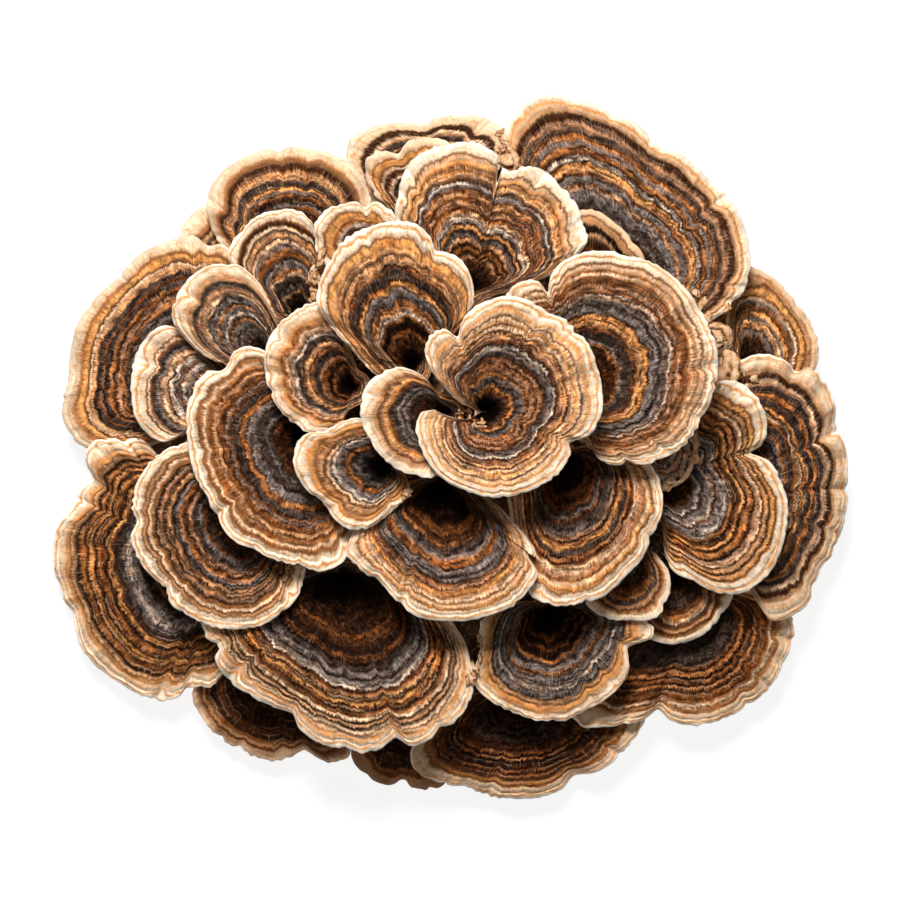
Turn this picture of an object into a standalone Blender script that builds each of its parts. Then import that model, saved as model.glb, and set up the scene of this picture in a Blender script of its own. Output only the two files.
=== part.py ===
"""Turkey tail fungus: a rosette of thin leathery caps that overlap like petals.

Each cap grows from a foot of its own on a mound of common flesh, and fans out to a lobed
growing edge. The mound is cut off flat where it grew on the wood, and rests on that cut.
The origin is at the middle of the rosette, on the cut face; +Z is up, +X runs along the
longer side. Sizes are in millimetres until they reach a mesh.
"""
import math

import bpy
import bmesh

MM = 0.001

# The mound of common flesh: an oval seen from above, highest under the centre cap
BASE_RADIUS_X = 83.0
BASE_RADIUS_Y = 75.5
BASE_CENTRE_Y = -3.0
BASE_COLUMNS = 36
CUT_SHARE = 0.95        # the cut face reaches this share of the way to the rim of the mound
BASE_PROFILE = (        # (share of the way from the crown to the rim, height)
    (0.0, 41.5), (0.10, 37.5), (0.18, 31.2), (0.26, 26.4), (0.40, 24.9), (0.50, 21.2),
    (0.56, 17.0), (0.65, 15.3), (0.69, 13.3), (0.82, 6.8), (0.90, 3.1), (1.0, 2.2),
)

# Every cap
EDGE_THICKNESS = 1.4    # at the growing edge
FOOT_THICKNESS = 3.2    # where the cap leaves its foot
NECK_RADIUS = 3.0       # the foot's short neck, down to the mound
NECK_FLARE = 1.25       # the neck is this much wider where it meets the mound
BACK_REACH = 4.5        # how far a cap reaches behind its foot
BACK_TURN = 30.0        # degrees from each end of the margin to the short back
BACK_STEP = 60.0        # widest step between two columns of the back, in degrees
CLEARANCE = 0.45        # between a foot and the mound
CLIMB_POWER = 1.8       # a cap climbs steeply out of its foot and then levels off
DROOP_POWER = 2.5       # and droops towards its edge
DROOP_SPREAD = 1.3      # most on the side that faces away from the crown of the rosette
SIDE_POWER = 0.75       # the short sides climb less than the long front
UNDER_INSET = 0.985     # the lower edge lies a little inside the upper one
UNDER_SHARE = 0.55      # where the underside of a large cap has its middle ring
LARGE_REACH = 25.0      # a cap that reaches further is built with more rings
LARGE_RINGS = (0.3, 0.7)
SMALL_RINGS = (0.5,)

# Each cap: name, tint, foot (x, y, height of its upper face), rise from foot to edge, droop of
# the edge, then places (x, y) along its margin, seen from above. Caps are numbered clockwise
# from the top of the rosette within their ring.
CAPS = (
    ("centre_cap", "grey", (8.75, 8.75, 46), 13, 1, (
        (3.75, -10.75), (10.5, -12.5), (16.25, -12), (22.5, -9.5), (27.5, -5.75), (30, -1.5), (30.25, 1),
        (33.5, 2.25), (36.5, 5.25), (37.75, 10.5), (37.25, 16.75), (35.5, 22.75), (32.5, 27.75),
        (28.5, 31.5), (24.5, 33), (20, 36), (15, 37.25), (10, 36.5), (6, 34.5), (3, 31.25),
        (1.75, 27.25), (-1, 29.25), (-4, 28.25), (-6.25, 24.25), (-5, 19.75), (-1.25, 14.25),
        (2.75, 11.25), (3.5, 10), (-5, 9), (-7.25, 7.25), (-8.25, 3), (-6.5, -2), (-2.5, -7.25))),
    ("inner_cap_1", "brown", (3, 40.5, 29), 12, 4, (
        (10.5, 37.25), (16.25, 39.25), (32.5, 48.25), (34.25, 51.75), (33.25, 56.25), (31, 61.25),
        (27.5, 65.75), (23, 69), (18.5, 69.75), (14.5, 68.75), (13.25, 69.75), (11.75, 65.75),
        (12, 72.75), (9, 75), (4.5, 76), (-0.5, 75.5), (-5.5, 74), (-9.5, 71.25), (-13, 63.75),
        (-13.5, 55.75), (-10.5, 49.25))),
    ("inner_cap_2", "amber", (31.25, 15.5, 36), 13, 4, (
        (31.5, 1.75), (35, -0.5), (37.5, -3.75), (42, -4.75), (53.5, -2.75), (58.5, 0.75), (62, 5.75),
        (66.5, 21.75), (65.75, 26.25), (58.5, 39.25), (54.5, 43), (45.5, 47.5), (40.5, 48.75),
        (31, 47.5), (26.5, 44.75), (24.5, 40.75), (24.25, 38.5), (22, 41), (18.75, 41.5), (15.5, 39.75),
        (13.75, 36.75), (16.5, 29.25))),
    ("inner_cap_3", "grey", (27.5, -2.75, 30.5), 12, 3, (
        (17.5, -3.75), (14.25, -9.5), (14.5, -15.75), (18, -33.25), (21.25, -38.25), (26.25, -39.5),
        (32, -39.25), (38, -37.25), (43, -33.75), (50.5, -22.25), (52.75, -16.25), (52.75, -10.75),
        (50.5, -5.25), (43.75, -0.25))),
    ("inner_cap_4", "amber", (-2.5, -9.25, 33), 12, 3, (
        (-14.5, -10.75), (-21, -17), (-25, -23.25), (-25.75, -27.25), (-23, -30.25), (-18, -33.25),
        (-12.5, -39.25), (-8, -42.25), (-2.5, -43.25), (3.75, -43.25), (10, -41.75), (15.5, -39.5),
        (19.5, -36), (21.75, -31.5), (19.5, -26.5), (21.25, -27.5), (15.5, -18.25), (10, -12.75))),
    ("inner_cap_5", "amber", (-16.25, -4.75, 35), 12, 2, (
        (-15.5, 3), (-19.5, 6.75), (-23.5, 7.25), (-27.5, 6), (-31.25, 4), (-35.5, 3.5), (-38, 1),
        (-39, -2.75), (-38, -6.75), (-35.75, -10.75), (-32, -13.75), (-29.5, -17.25), (-26, -20),
        (-22, -20.5), (-14.25, -16.25), (-11.25, -13.25), (-10, -10.25))),
    ("inner_cap_6", "brown", (-24, 14.75, 30), 12, 2, (
        (-26.25, 26.75), (-28.75, 33.75), (-33, 36), (-38, 34.25), (-41.75, 31.75), (-44.5, 28),
        (-46.25, 19.75), (-45.75, 15.5), (-43.75, 11.25), (-40.5, 7.25), (-36.75, 4.25), (-32, 3.25),
        (-27.5, 5.5), (-25, 9.25))),
    ("inner_cap_7", "tan", (-9, 19.75, 36), 13, 3, (
        (-2.5, 24.75), (1.5, 28.5), (4.75, 32.75), (6, 37.25), (5.5, 41.25), (3.5, 45.5), (0, 48.25),
        (-3.25, 48.75), (-5, 52.25), (-8, 55), (-12, 56.25), (-22, 54), (-26.25, 51.25), (-30, 46.25),
        (-32.5, 40.5), (-33.25, 36.75), (-32, 33.25), (-24.5, 24.25), (-18, 17.75))),
    ("inner_cap_8", "brown", (-1, 8.25, 42), 11, 1.5, (
        (-3.25, 13.75), (-6.25, 17.25), (-10, 19.25), (-13.75, 20), (-17.5, 18.5), (-20.5, 15.5),
        (-22.25, 11.25), (-22, 6.75), (-20.5, 2.5), (-18, -1.25), (-10.5, -6.75), (-6.25, -7.75),
        (-2.5, -7.25), (0.5, -3.75))),
    ("middle_cap_1", "amber", (57, -9.75, 21), 10, 5, (
        (53, -19.5), (53.5, -25.75), (55.5, -30.75), (60, -33.25), (68.75, -36.75), (73.75, -36.25),
        (78.5, -33.25), (82, -27.75), (84, -20.75), (84.5, -14.5), (82.75, -7.75), (79.5, -3.25),
        (75.5, -1.25), (78, 0.5), (79.5, 4.75), (78, 10), (75, 14.25), (71.25, 16.5), (67, 15.75),
        (60.5, 1.75), (63.25, 13), (61, 8.75))),
    ("middle_cap_2", "brown", (43, -26.25, 24.5), 7, 2, (
        (35.5, -33.25), (33.75, -39), (37, -41.75), (46.5, -43.5), (51.25, -43), (53.75, -39.75),
        (55, -35.75), (54.75, -31.5), (52.5, -27.75), (48.75, -24.75))),
    ("middle_cap_3", "brown", (56.5, -32.75, 15), 7, 3, (
        (48.75, -39.5), (47.5, -44.5), (50.5, -48.25), (55.5, -49.5), (60.5, -48.5), (68, -42.75),
        (70.25, -39.25), (71.25, -35.75), (68, -32))),
    ("middle_cap_4", "brown", (24.5, -41.25, 20), 9, 4, (
        (13.75, -39.5), (7.5, -43.75), (7.5, -49.5), (6, -55.25), (6, -59.75), (9.5, -63), (15, -66),
        (21.25, -68.25), (27.5, -68.75), (33.5, -66.5), (39, -63), (43, -59.25), (45, -54.5),
        (44.5, -50.25), (51, -46.75), (46.5, -41.25), (37.5, -38.25))),
    ("middle_cap_5", "amber", (-26.25, -32, 21), 10, 6.5, (
        (-46.25, -34.5), (-58, -39.25), (-62.25, -43.75), (-61, -47.5), (-58.25, -49.5),
        (-58.75, -53.25), (-56, -58), (-45, -64.75), (-39.75, -66.5), (-37.5, -70.75), (-32, -74.25),
        (-25.5, -76), (-19.5, -76.5), (-13.75, -73), (-8.75, -74.75), (-5, -73), (-2.5, -70.75),
        (1.5, -68.75), (4.5, -64.25), (6, -59.5), (5.25, -53.75), (3, -47), (-5, -38.25))),
    ("middle_cap_6", "brown", (-51.75, -17.75, 21), 10, 5, (
        (-58.75, -4.5), (-62.5, 0.25), (-67, 1), (-72.5, -1.75), (-76, -5.25), (-78.75, -10.25),
        (-79.75, -14.75), (-78.25, -18.5), (-79.75, -22.75), (-77.75, -28.25), (-71.75, -35.25),
        (-69, -40), (-63.75, -43), (-58.75, -45), (-52.5, -45.5), (-46.25, -44.25), (-38.25, -37.75),
        (-36.5, -32.75), (-36, -27.75), (-41.25, -20.75))),
    ("middle_cap_7", "amber", (-35, 1.75, 27), 12, 5, (
        (-40, 18.75), (-45.5, 23.75), (-50.5, 25.25), (-54, 23.75), (-56.75, 19.25), (-60.5, 18.75),
        (-64, 14.75), (-65.5, 9.75), (-65.5, 3.75), (-60.75, -13.25), (-58, -18.25), (-54, -23.25),
        (-48.5, -26), (-37.5, -29.75), (-32, -31), (-27, -29), (-24.5, -24.5), (-23.5, -19.5),
        (-26, -10.75))),
    ("middle_cap_8", "grey", (-54, 12.75, 17.5), 7, 3, (
        (-61.25, 23.75), (-65, 27.25), (-69.5, 30.25), (-73.5, 29.75), (-77, 26.5), (-79, 22.25),
        (-79.75, 12.25), (-79, 8), (-76, 3.5), (-71.5, 1.25), (-60.5, 6.75), (-67, 0.5), (-63.5, 1.75))),
    ("middle_cap_9", "brown", (-46.5, 23.75, 22), 9, 3, (
        (-42.5, 28), (-44, 33.75), (-49.5, 43), (-53, 45.5), (-57, 45.75), (-61.5, 44.75),
        (-65.5, 41.75), (-68.25, 37.75), (-69.5, 34.25), (-68.75, 30.5), (-66.5, 27.5), (-55.5, 20.25))),
    ("middle_cap_10", "brown", (-37, 33, 20), 8, 2, (
        (-32, 38), (-31, 48), (-32, 52.75), (-34.5, 56.5), (-38, 59), (-42.5, 59.5), (-47, 58.25),
        (-51, 55.75), (-54, 52.25), (-55.5, 48.25), (-53.75, 43.75), (-50, 37.25), (-45.5, 32.25))),
    ("middle_cap_11", "tan", (-18.75, 46.25, 24), 9, 2, (
        (-12, 53), (-13.25, 56.75), (-15.5, 60), (-19, 61.25), (-21.25, 60), (-23, 61.25),
        (-26.25, 61.25), (-30.5, 59.5), (-33.5, 56.25), (-34, 52.25), (-33, 47.75), (-30, 44.75))),
    ("middle_cap_12", "amber", (-6.25, 59.75, 17), 8, 3, (
        (3.5, 70.5), (1.5, 74.75), (-2, 77), (-6.25, 77.5), (-10.5, 76.5), (-13, 73.75), (-17.5, 74.25),
        (-20.5, 72.5), (-21.25, 68.75), (-20, 64.25), (-16.25, 60.5))),
    ("outer_cap_1", "amber", (40.5, 41.25, 20), 9, 13, (
        (54, 31.75), (59.5, 30.5), (64.5, 31.25), (69.5, 34.5), (73.5, 38.75), (75.25, 43.75),
        (75.25, 49.25), (74, 54.75), (71, 61), (66.5, 66), (56.5, 74.25), (52, 76), (47, 81),
        (41.25, 83.75), (29, 87.75), (24, 88.75), (19.5, 87), (15.5, 83.25), (13.75, 79.25),
        (12.5, 71.75), (13.75, 65.5), (22.5, 54.25))),
    ("outer_cap_2", "tan", (74.5, 19.75, 9), 3, 5, (
        (85, 16.25), (90.5, 17.75), (92.75, 22.25), (92.5, 26.75), (90.5, 31.75), (87, 36.75), (79, 44),
        (75, 45.5), (71.25, 42.25), (69.5, 34.25))),
    ("outer_cap_3", "amber", (70, -10.75, 16), 7, 12, (
        (75, -35.75), (81.25, -43.75), (86.75, -42.25), (90.5, -38.25), (91, -34.75), (97.5, -24.5),
        (99.5, -17), (100, -8.25), (99.5, -0.75), (97.25, 4.75), (96.5, 11.25), (93.5, 16.75),
        (90.5, 19.75), (86.5, 19), (84.5, 21.5), (80.5, 23), (72, 21.5), (68, 15.5), (65.5, 4.25))),
    ("outer_cap_4", "amber", (60, -41.25, 12), 5, 8, (
        (43.75, -48.25), (32.5, -58.25), (29, -65.75), (32.5, -69.75), (38.5, -70.25), (49.5, -68),
        (52.25, -66), (55.5, -68.75), (61.25, -70), (67.5, -68.75), (73.75, -66), (78.75, -62.25),
        (83.25, -56.25), (85.75, -50.75), (86.75, -45.75), (85, -41.25), (80, -37), (70, -35.75))),
    ("outer_cap_5", "brown", (18, -63, 10), 4, 7, (
        (0, -64.5), (-7.5, -72), (-10, -77), (-9.25, -80.75), (-1, -85), (5, -85.75), (9, -87.5),
        (15.5, -88.75), (22.5, -88.25), (28, -86.25), (31, -83), (37, -81.75), (46, -73.75),
        (49, -68.75), (45, -63.25), (32.5, -58.25))),
    ("outer_cap_6", "brown", (-13, -70.25, 7), 2, 3.5, (
        (-22, -72), (-25, -77), (-23, -81.25), (-19, -84.25), (-15, -85.25), (-12.25, -83.75), (-9, -86),
        (-4.5, -86.25), (-1, -84.5), (0, -79.5), (-5, -72))),
    ("outer_cap_7", "brown", (-42.5, -56.25, 8), 3, 4.5, (
        (-58.75, -53.25), (-63.5, -58.25), (-64.75, -63.75), (-62, -68.75), (-57.5, -73.75),
        (-51.5, -77), (-45, -79), (-40, -78), (-36.75, -76.5), (-33, -78.5), (-28.75, -79.75),
        (-25.75, -78.25), (-25, -73.75), (-28.75, -64.5))),
    ("outer_cap_8", "amber", (-61.25, -27, 11), 5, 10, (
        (-70, -8.25), (-77.5, -1.25), (-84.5, -2), (-90, -2.5), (-91.75, -4.25), (-89.75, -8.25),
        (-93.5, -11.25), (-95.25, -15.75), (-98.5, -19.25), (-100, -25.25), (-99.5, -32),
        (-97.5, -38.25), (-95, -42.75), (-94.25, -47.75), (-90.5, -53.75), (-85, -58.5), (-78.75, -62),
        (-72.5, -63.75), (-68, -62.75), (-66, -60.5), (-61.25, -60.75), (-57, -57), (-55, -48.25),
        (-56.25, -35.75))),
    ("outer_cap_9", "tan", (-61.25, 18.75, 13), 6, 12, (
        (-53.5, 34.25), (-52.5, 43), (-54, 48.25), (-57, 51), (-60.5, 50.5), (-64.5, 53), (-69.5, 52.25),
        (-75, 50.25), (-79.5, 47.25), (-83, 42.75), (-87, 39.75), (-91, 35.5), (-94.25, 29.75),
        (-95.5, 24.25), (-96, 18), (-97.25, 12.25), (-97.5, 7.25), (-95, 2.25), (-90.5, -0.75),
        (-80, -0.5), (-75, 0.25), (-68.75, 3.75))),
    ("outer_cap_10", "tan", (-52.5, 46.25, 8.5), 3, 4, (
        (-52.5, 54.25), (-55, 57.75), (-58.5, 60.25), (-61.75, 60.75), (-65, 58.5), (-67.5, 55.5),
        (-68.5, 51.75), (-65, 48))),
    ("outer_cap_11", "tan", (-38.75, 46.25, 15), 6, 10, (
        (-24.5, 54.75), (-20, 59.75), (-20.5, 64.25), (-23, 68.75), (-27, 72.25), (-38, 75.25),
        (-44.5, 75.25), (-50, 73.5), (-55, 71), (-59, 67.25), (-61, 63), (-60.5, 56.25), (-56.25, 49.25))),
    ("outer_cap_12", "tan", (-3.5, 68.75, 10), 5, 5, (
        (12.5, 69.75), (14.5, 75.5), (13.5, 79.75), (10.5, 82), (6.25, 83.25), (1.25, 83.5), (-3.5, 83),
        (-6.5, 81.25), (-13.75, 81.5), (-18.5, 81), (-22.5, 79), (-25.5, 76.25), (-26, 72.25),
        (-24.5, 67.25), (-19.5, 60.5))),
    ("small_cap_1", "tan", (33.5, 36.25, 25), 8, 2, (
        (47.5, 40.5), (49.5, 44.75), (48.25, 48), (45.75, 51.5), (39.25, 57.5), (36, 59.25), (32.5, 59),
        (29.5, 57.25), (27.5, 53))),
    ("small_cap_2", "tan", (63.5, 23.75, 14), 5, 1, (
        (65.5, 15.75), (69.25, 15.75), (71.5, 18), (71.25, 21.25), (69.5, 23.75), (70.75, 26.25),
        (69, 28.75), (66, 30), (63, 28.5))),
    ("small_cap_3", "brown", (51.25, -0.25, 27), 4, 0, (
        (51.25, -8.25), (53.5, -11), (56.5, -9.75), (60, -6.75), (61.75, -2.75), (61, 1.75),
        (57.5, 2.75))),
    ("small_cap_4", "tan", (-28, 39.75, 23.5), 5, 0, (
        (-28.75, 44.75), (-32, 46.25), (-34.75, 44.75), (-35.5, 41.75), (-34, 39.25), (-34.75, 36.25),
        (-32, 33.75), (-28.75, 34.75))),
)

CAP_TINTS = {
    "tan": (0.42, 0.25, 0.12),
    "amber": (0.50, 0.29, 0.12),
    "brown": (0.30, 0.17, 0.09),
    "grey": (0.36, 0.27, 0.20),
}
BASE_TINT = (0.20, 0.11, 0.06)
FLESH_ROUGHNESS = 0.75


def flesh_material(name, tint):
    """Dry leathery flesh in one flat tint."""
    material = bpy.data.materials.new(name)
    material.use_nodes = True
    shader = material.node_tree.nodes["Principled BSDF"]
    shader.inputs["Base Color"].default_value = (*tint, 1.0)
    shader.inputs["Roughness"].default_value = FLESH_ROUGHNESS
    shader.inputs["Metallic"].default_value = 0.0
    return material


def rosette_collection():
    """The collection that holds every piece."""
    collection = bpy.data.collections.new("turkey tail fungus")
    bpy.context.scene.collection.children.link(collection)
    return collection


def mapped_sphere(columns, rings, top, bottom):
    """A sphere primitive whose rings of points, from the upper pole down, are carried to new
    places: rings is a list of functions of a column's number."""
    body = bmesh.new()
    bmesh.ops.create_uvsphere(body, u_segments=columns, v_segments=len(rings) + 1, radius=1.0)
    longitude_step = 2.0 * math.pi / columns
    latitude_step = math.pi / (len(rings) + 1)
    for vert in body.verts:
        row = round(math.acos(max(-1.0, min(1.0, vert.co.z))) / latitude_step)
        if row == 0:
            place = top
        elif row == len(rings) + 1:
            place = bottom
        else:
            column = round(math.atan2(vert.co.y, vert.co.x) / longitude_step) % columns
            place = rings[row - 1](column)
        vert.co = [length * MM for length in place]
    return body


def finish_piece(name, body, at, tint, collection):
    """Makes the object, with its own material, and puts it in its place."""
    mesh = bpy.data.meshes.new(name)
    body.to_mesh(mesh)
    body.free()
    mesh.materials.append(flesh_material(name + " flesh", tint))
    piece = bpy.data.objects.new(name, mesh)
    piece.location = [length * MM for length in at]
    collection.objects.link(piece)
    return piece


def base_rim(bearing):
    """Distance from the crown to the oval rim of the mound, along a bearing in radians."""
    east = math.cos(bearing)
    north = math.sin(bearing)
    a = (east / BASE_RADIUS_X) ** 2 + (north / BASE_RADIUS_Y) ** 2
    b = CROWN_X * east / BASE_RADIUS_X ** 2 + (CROWN_Y - BASE_CENTRE_Y) * north / BASE_RADIUS_Y ** 2
    c = (CROWN_X / BASE_RADIUS_X) ** 2 + ((CROWN_Y - BASE_CENTRE_Y) / BASE_RADIUS_Y) ** 2 - 1.0
    return (-b + math.sqrt(b * b - a * c)) / a


def base_height(x, y):
    """Height of the mound's upper face above the cut."""
    away = math.hypot(x - CROWN_X, y - CROWN_Y)
    share = away / base_rim(math.atan2(y - CROWN_Y, x - CROWN_X))
    for (inner, high), (outer, low) in zip(BASE_PROFILE, BASE_PROFILE[1:]):
        if share <= outer:
            return high + (low - high) * (share - inner) / (outer - inner)
    return BASE_PROFILE[-1][1]


def base_ring(share, height):
    """A ring of the mound at one share of the way from the crown to the rim."""
    def place(column):
        bearing = 2.0 * math.pi * column / BASE_COLUMNS
        away = share * base_rim(bearing)
        return (away * math.cos(bearing), away * math.sin(bearing), height)
    return place


def add_base(collection):
    """The mound of common flesh, with its flat cut face below."""
    rings = [base_ring(share, height) for share, height in BASE_PROFILE[1:]]
    rings.append(base_ring(CUT_SHARE, 0.0))
    crown = (0.0, 0.0, BASE_PROFILE[0][1])
    body = mapped_sphere(BASE_COLUMNS, rings, crown, (0.0, 0.0, 0.0))
    finish_piece("base", body, (CROWN_X, CROWN_Y, 0.0), BASE_TINT, collection)


def cap_outline(foot, margin):
    """The margin as (bearing in degrees, reach from the foot), closed behind the foot."""
    outline = []
    for x, y in margin:
        bearing = math.degrees(math.atan2(y - foot[1], x - foot[0])) % 360.0
        outline.append((bearing, math.hypot(x - foot[0], y - foot[1])))
    outline.sort()
    turns = [(outline[i][0] - outline[i - 1][0]) % 360.0 for i in range(len(outline))]
    widest = max(turns)
    if widest > 2.0 * BACK_TURN:
        start = outline[turns.index(widest) - 1][0] + BACK_TURN
        turn = widest - 2.0 * BACK_TURN
        steps = int(turn // BACK_STEP) + 1
        outline += [((start + turn * i / steps) % 360.0, BACK_REACH) for i in range(steps + 1)]
    return sorted(outline)


def outward_share(foot, bearing):
    """1 where a bearing points away from the crown, down to 0 at the sides and behind."""
    away = math.hypot(foot[0] - CROWN_X, foot[1] - CROWN_Y)
    if away == 0.0:
        return 1.0
    outward = math.atan2(foot[1] - CROWN_Y, foot[0] - CROWN_X)
    return max(0.0, math.cos(math.radians(bearing) - outward)) ** DROOP_SPREAD


def add_cap(name, foot, rise, droop, margin, tint, collection):
    """One fan: an upper face, a thin edge, an underside and a neck that stands on the mound."""
    outline = cap_outline(foot, margin)
    furthest = max(reach for bearing, reach in outline)

    def spot(column, away, height):
        bearing = math.radians(outline[column][0])
        return (away * math.cos(bearing), away * math.sin(bearing), height)

    def upper(column, share):
        side = (outline[column][1] / furthest) ** SIDE_POWER
        climb = rise * (1.0 - (1.0 - share) ** CLIMB_POWER)
        sag = droop * outward_share(foot, outline[column][0]) * share ** DROOP_POWER
        return side * (climb - sag)

    def upper_ring(share):
        return lambda column: spot(column, share * outline[column][1], upper(column, share))

    def lower_edge(column):
        away = UNDER_INSET * outline[column][1]
        return spot(column, away, upper(column, 1.0) - EDGE_THICKNESS)

    def underside(column, away):
        share = away / outline[column][1]
        swell = (FOOT_THICKNESS - EDGE_THICKNESS) * (1.0 - share) ** 1.5
        return spot(column, away, upper(column, share) - EDGE_THICKNESS - swell)

    def under_ring(column):
        reach = outline[column][1]
        return underside(column, max(UNDER_SHARE * reach, 0.5 * (NECK_RADIUS + reach)))

    def neck_top(column):
        return underside(column, NECK_RADIUS)

    def neck_foot(column):
        x, y, height = spot(column, NECK_FLARE * NECK_RADIUS, 0.0)
        return (x, y, base_height(foot[0] + x, foot[1] + y) + CLEARANCE - foot[2])

    if furthest > LARGE_REACH:
        rings = [upper_ring(share) for share in LARGE_RINGS + (1.0,)]
        rings += [lower_edge, under_ring, neck_top, neck_foot]
    else:
        rings = [upper_ring(share) for share in SMALL_RINGS + (1.0,)]
        rings += [lower_edge, neck_top, neck_foot]
    sole = (0.0, 0.0, base_height(foot[0], foot[1]) + CLEARANCE - foot[2])
    body = mapped_sphere(len(outline), rings, (0.0, 0.0, 0.0), sole)
    finish_piece(name, body, foot, tint, collection)


for old in list(bpy.data.objects):
    bpy.data.objects.remove(old, do_unlink=True)

CROWN_X, CROWN_Y = CAPS[0][2][:2]
rosette = rosette_collection()
add_base(rosette)
for name, tint, foot, rise, droop, margin in CAPS:
    add_cap(name, foot, rise, droop, margin, CAP_TINTS[tint], rosette)
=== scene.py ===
"""Turkey tail fungus: the dressed rosette, seen from straight above on a pale floor.

Thirty-eight pieces of one growth, a mound of common flesh and the thin caps that fan out from it,
and the small knobs between them. Lengths are millimetres wherever a comment names no other unit.
"""
import math
from types import SimpleNamespace

import bmesh
import bpy
import numpy as np
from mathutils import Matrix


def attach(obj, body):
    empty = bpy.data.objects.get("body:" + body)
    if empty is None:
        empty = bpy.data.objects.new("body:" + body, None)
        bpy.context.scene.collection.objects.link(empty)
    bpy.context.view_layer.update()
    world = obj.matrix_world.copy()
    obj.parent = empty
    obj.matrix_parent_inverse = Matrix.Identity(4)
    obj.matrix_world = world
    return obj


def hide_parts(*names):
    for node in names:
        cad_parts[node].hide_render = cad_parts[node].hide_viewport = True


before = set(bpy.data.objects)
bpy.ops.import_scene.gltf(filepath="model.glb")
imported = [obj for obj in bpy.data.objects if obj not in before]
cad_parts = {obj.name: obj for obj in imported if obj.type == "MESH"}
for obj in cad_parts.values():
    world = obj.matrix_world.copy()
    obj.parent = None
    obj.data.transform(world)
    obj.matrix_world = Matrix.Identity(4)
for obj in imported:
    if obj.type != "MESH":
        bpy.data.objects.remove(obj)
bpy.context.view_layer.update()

# ------------------------------------------------------------------------------------------
# The mound of common flesh. Woody, fibrous tissue that every cap grows out of, highest under
# the centre cap. It was cut off flat where it sat on the wood, and rests on that cut.
# ------------------------------------------------------------------------------------------
MM = 0.001  # a millimetre in metres
CROWN_X, CROWN_Y = 8.75, 8.75
MOUND_RADIUS_X, MOUND_RADIUS_Y, MOUND_CENTRE_Y = 83.0, 75.5, -3.0
MOUND_PROFILE = np.array((  # share of the way from the crown to the rim, height
    (0.0, 41.5), (0.10, 37.5), (0.18, 31.2), (0.26, 26.4), (0.40, 24.9), (0.50, 21.2),
    (0.56, 17.0), (0.65, 15.3), (0.69, 13.3), (0.82, 6.8), (0.90, 3.1), (1.0, 2.2)))
MOUND_CUT_SHARE = 0.95  # the cut face's width, of the rim's
MOUND_COLUMNS, MOUND_ROWS, MOUND_CUT_ROWS = 330, 110, 30
MOUND_LUMPS = ((7.0, 1.3), (2.6, 0.7), (1.1, 0.3))  # size and height of the lumps
LUMP_FADE = 0.06  # share of the way over which they fade out at the rim
LUMP_LEVEL = 0.6  # the noise that leaves the profile as it is
UPPER_MAP, CUT_MAP = (0.72, 0.30), (0.45, 0.80)  # scale and middle on the baking map
MAP_SPAN, MAP_FILL = 240.0, 0.9  # the width that it holds, and how full it gets


HASH_X, HASH_Y, HASH_Z, HASH_SEED = 73856093, 19349663, 83492791, 6542989  # large odd factors
HASH_FIRST, HASH_SECOND, HASH_BITS = 2654435761, 2246822519, 0xFFFFFFFF


def flesh_noise(places, size, seed):
    """Smooth noise from 0 to 1: a hashed value at each corner of a cubic lattice of the given
    size, blended across the cell with the curve 3f^2 - 2f^3 along each axis."""
    cell = np.floor(places / size).astype(np.int64)
    part = places / size - cell
    part = part * part * (3.0 - 2.0 * part)
    total = np.zeros(places.shape[:-1])
    for corner in range(8):
        step = np.array((corner & 1, corner >> 1 & 1, corner >> 2 & 1))
        at = cell + step
        mixed = at[..., 0] * HASH_X ^ at[..., 1] * HASH_Y ^ at[..., 2] * HASH_Z ^ seed * HASH_SEED
        mixed = (mixed & HASH_BITS) * HASH_FIRST & HASH_BITS
        mixed = ((mixed ^ mixed >> 15) * HASH_SECOND) & HASH_BITS
        value = ((mixed ^ mixed >> 13) & 0xFFFF) / 65535.0
        total += value * np.prod(np.where(step == 1, part, 1.0 - part), axis=-1)
    return total


def mound_rim(bearing):
    """Distance from the crown to the oval rim: the root of the ellipse's quadratic."""
    east, north = np.cos(bearing), np.sin(bearing)
    a = (east / MOUND_RADIUS_X) ** 2 + (north / MOUND_RADIUS_Y) ** 2
    b = CROWN_X * east / MOUND_RADIUS_X ** 2
    b += (CROWN_Y - MOUND_CENTRE_Y) * north / MOUND_RADIUS_Y ** 2
    c = (CROWN_X / MOUND_RADIUS_X) ** 2 + ((CROWN_Y - MOUND_CENTRE_Y) / MOUND_RADIUS_Y) ** 2 - 1.0
    return (-b + np.sqrt(b * b - a * c)) / a


def mound_height(x, y):
    """Height of the mound: its profile read at the share of the way from crown to rim."""
    away = np.hypot(x - CROWN_X, y - CROWN_Y)
    share = away / mound_rim(np.arctan2(y - CROWN_Y, x - CROWN_X))
    return np.interp(share, MOUND_PROFILE[:, 0], MOUND_PROFILE[:, 1])


def placed(name, data):
    """Puts new data into the scene as an object."""
    thing = bpy.data.objects.new(name, data)
    bpy.context.scene.collection.objects.link(thing)
    return thing


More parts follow.
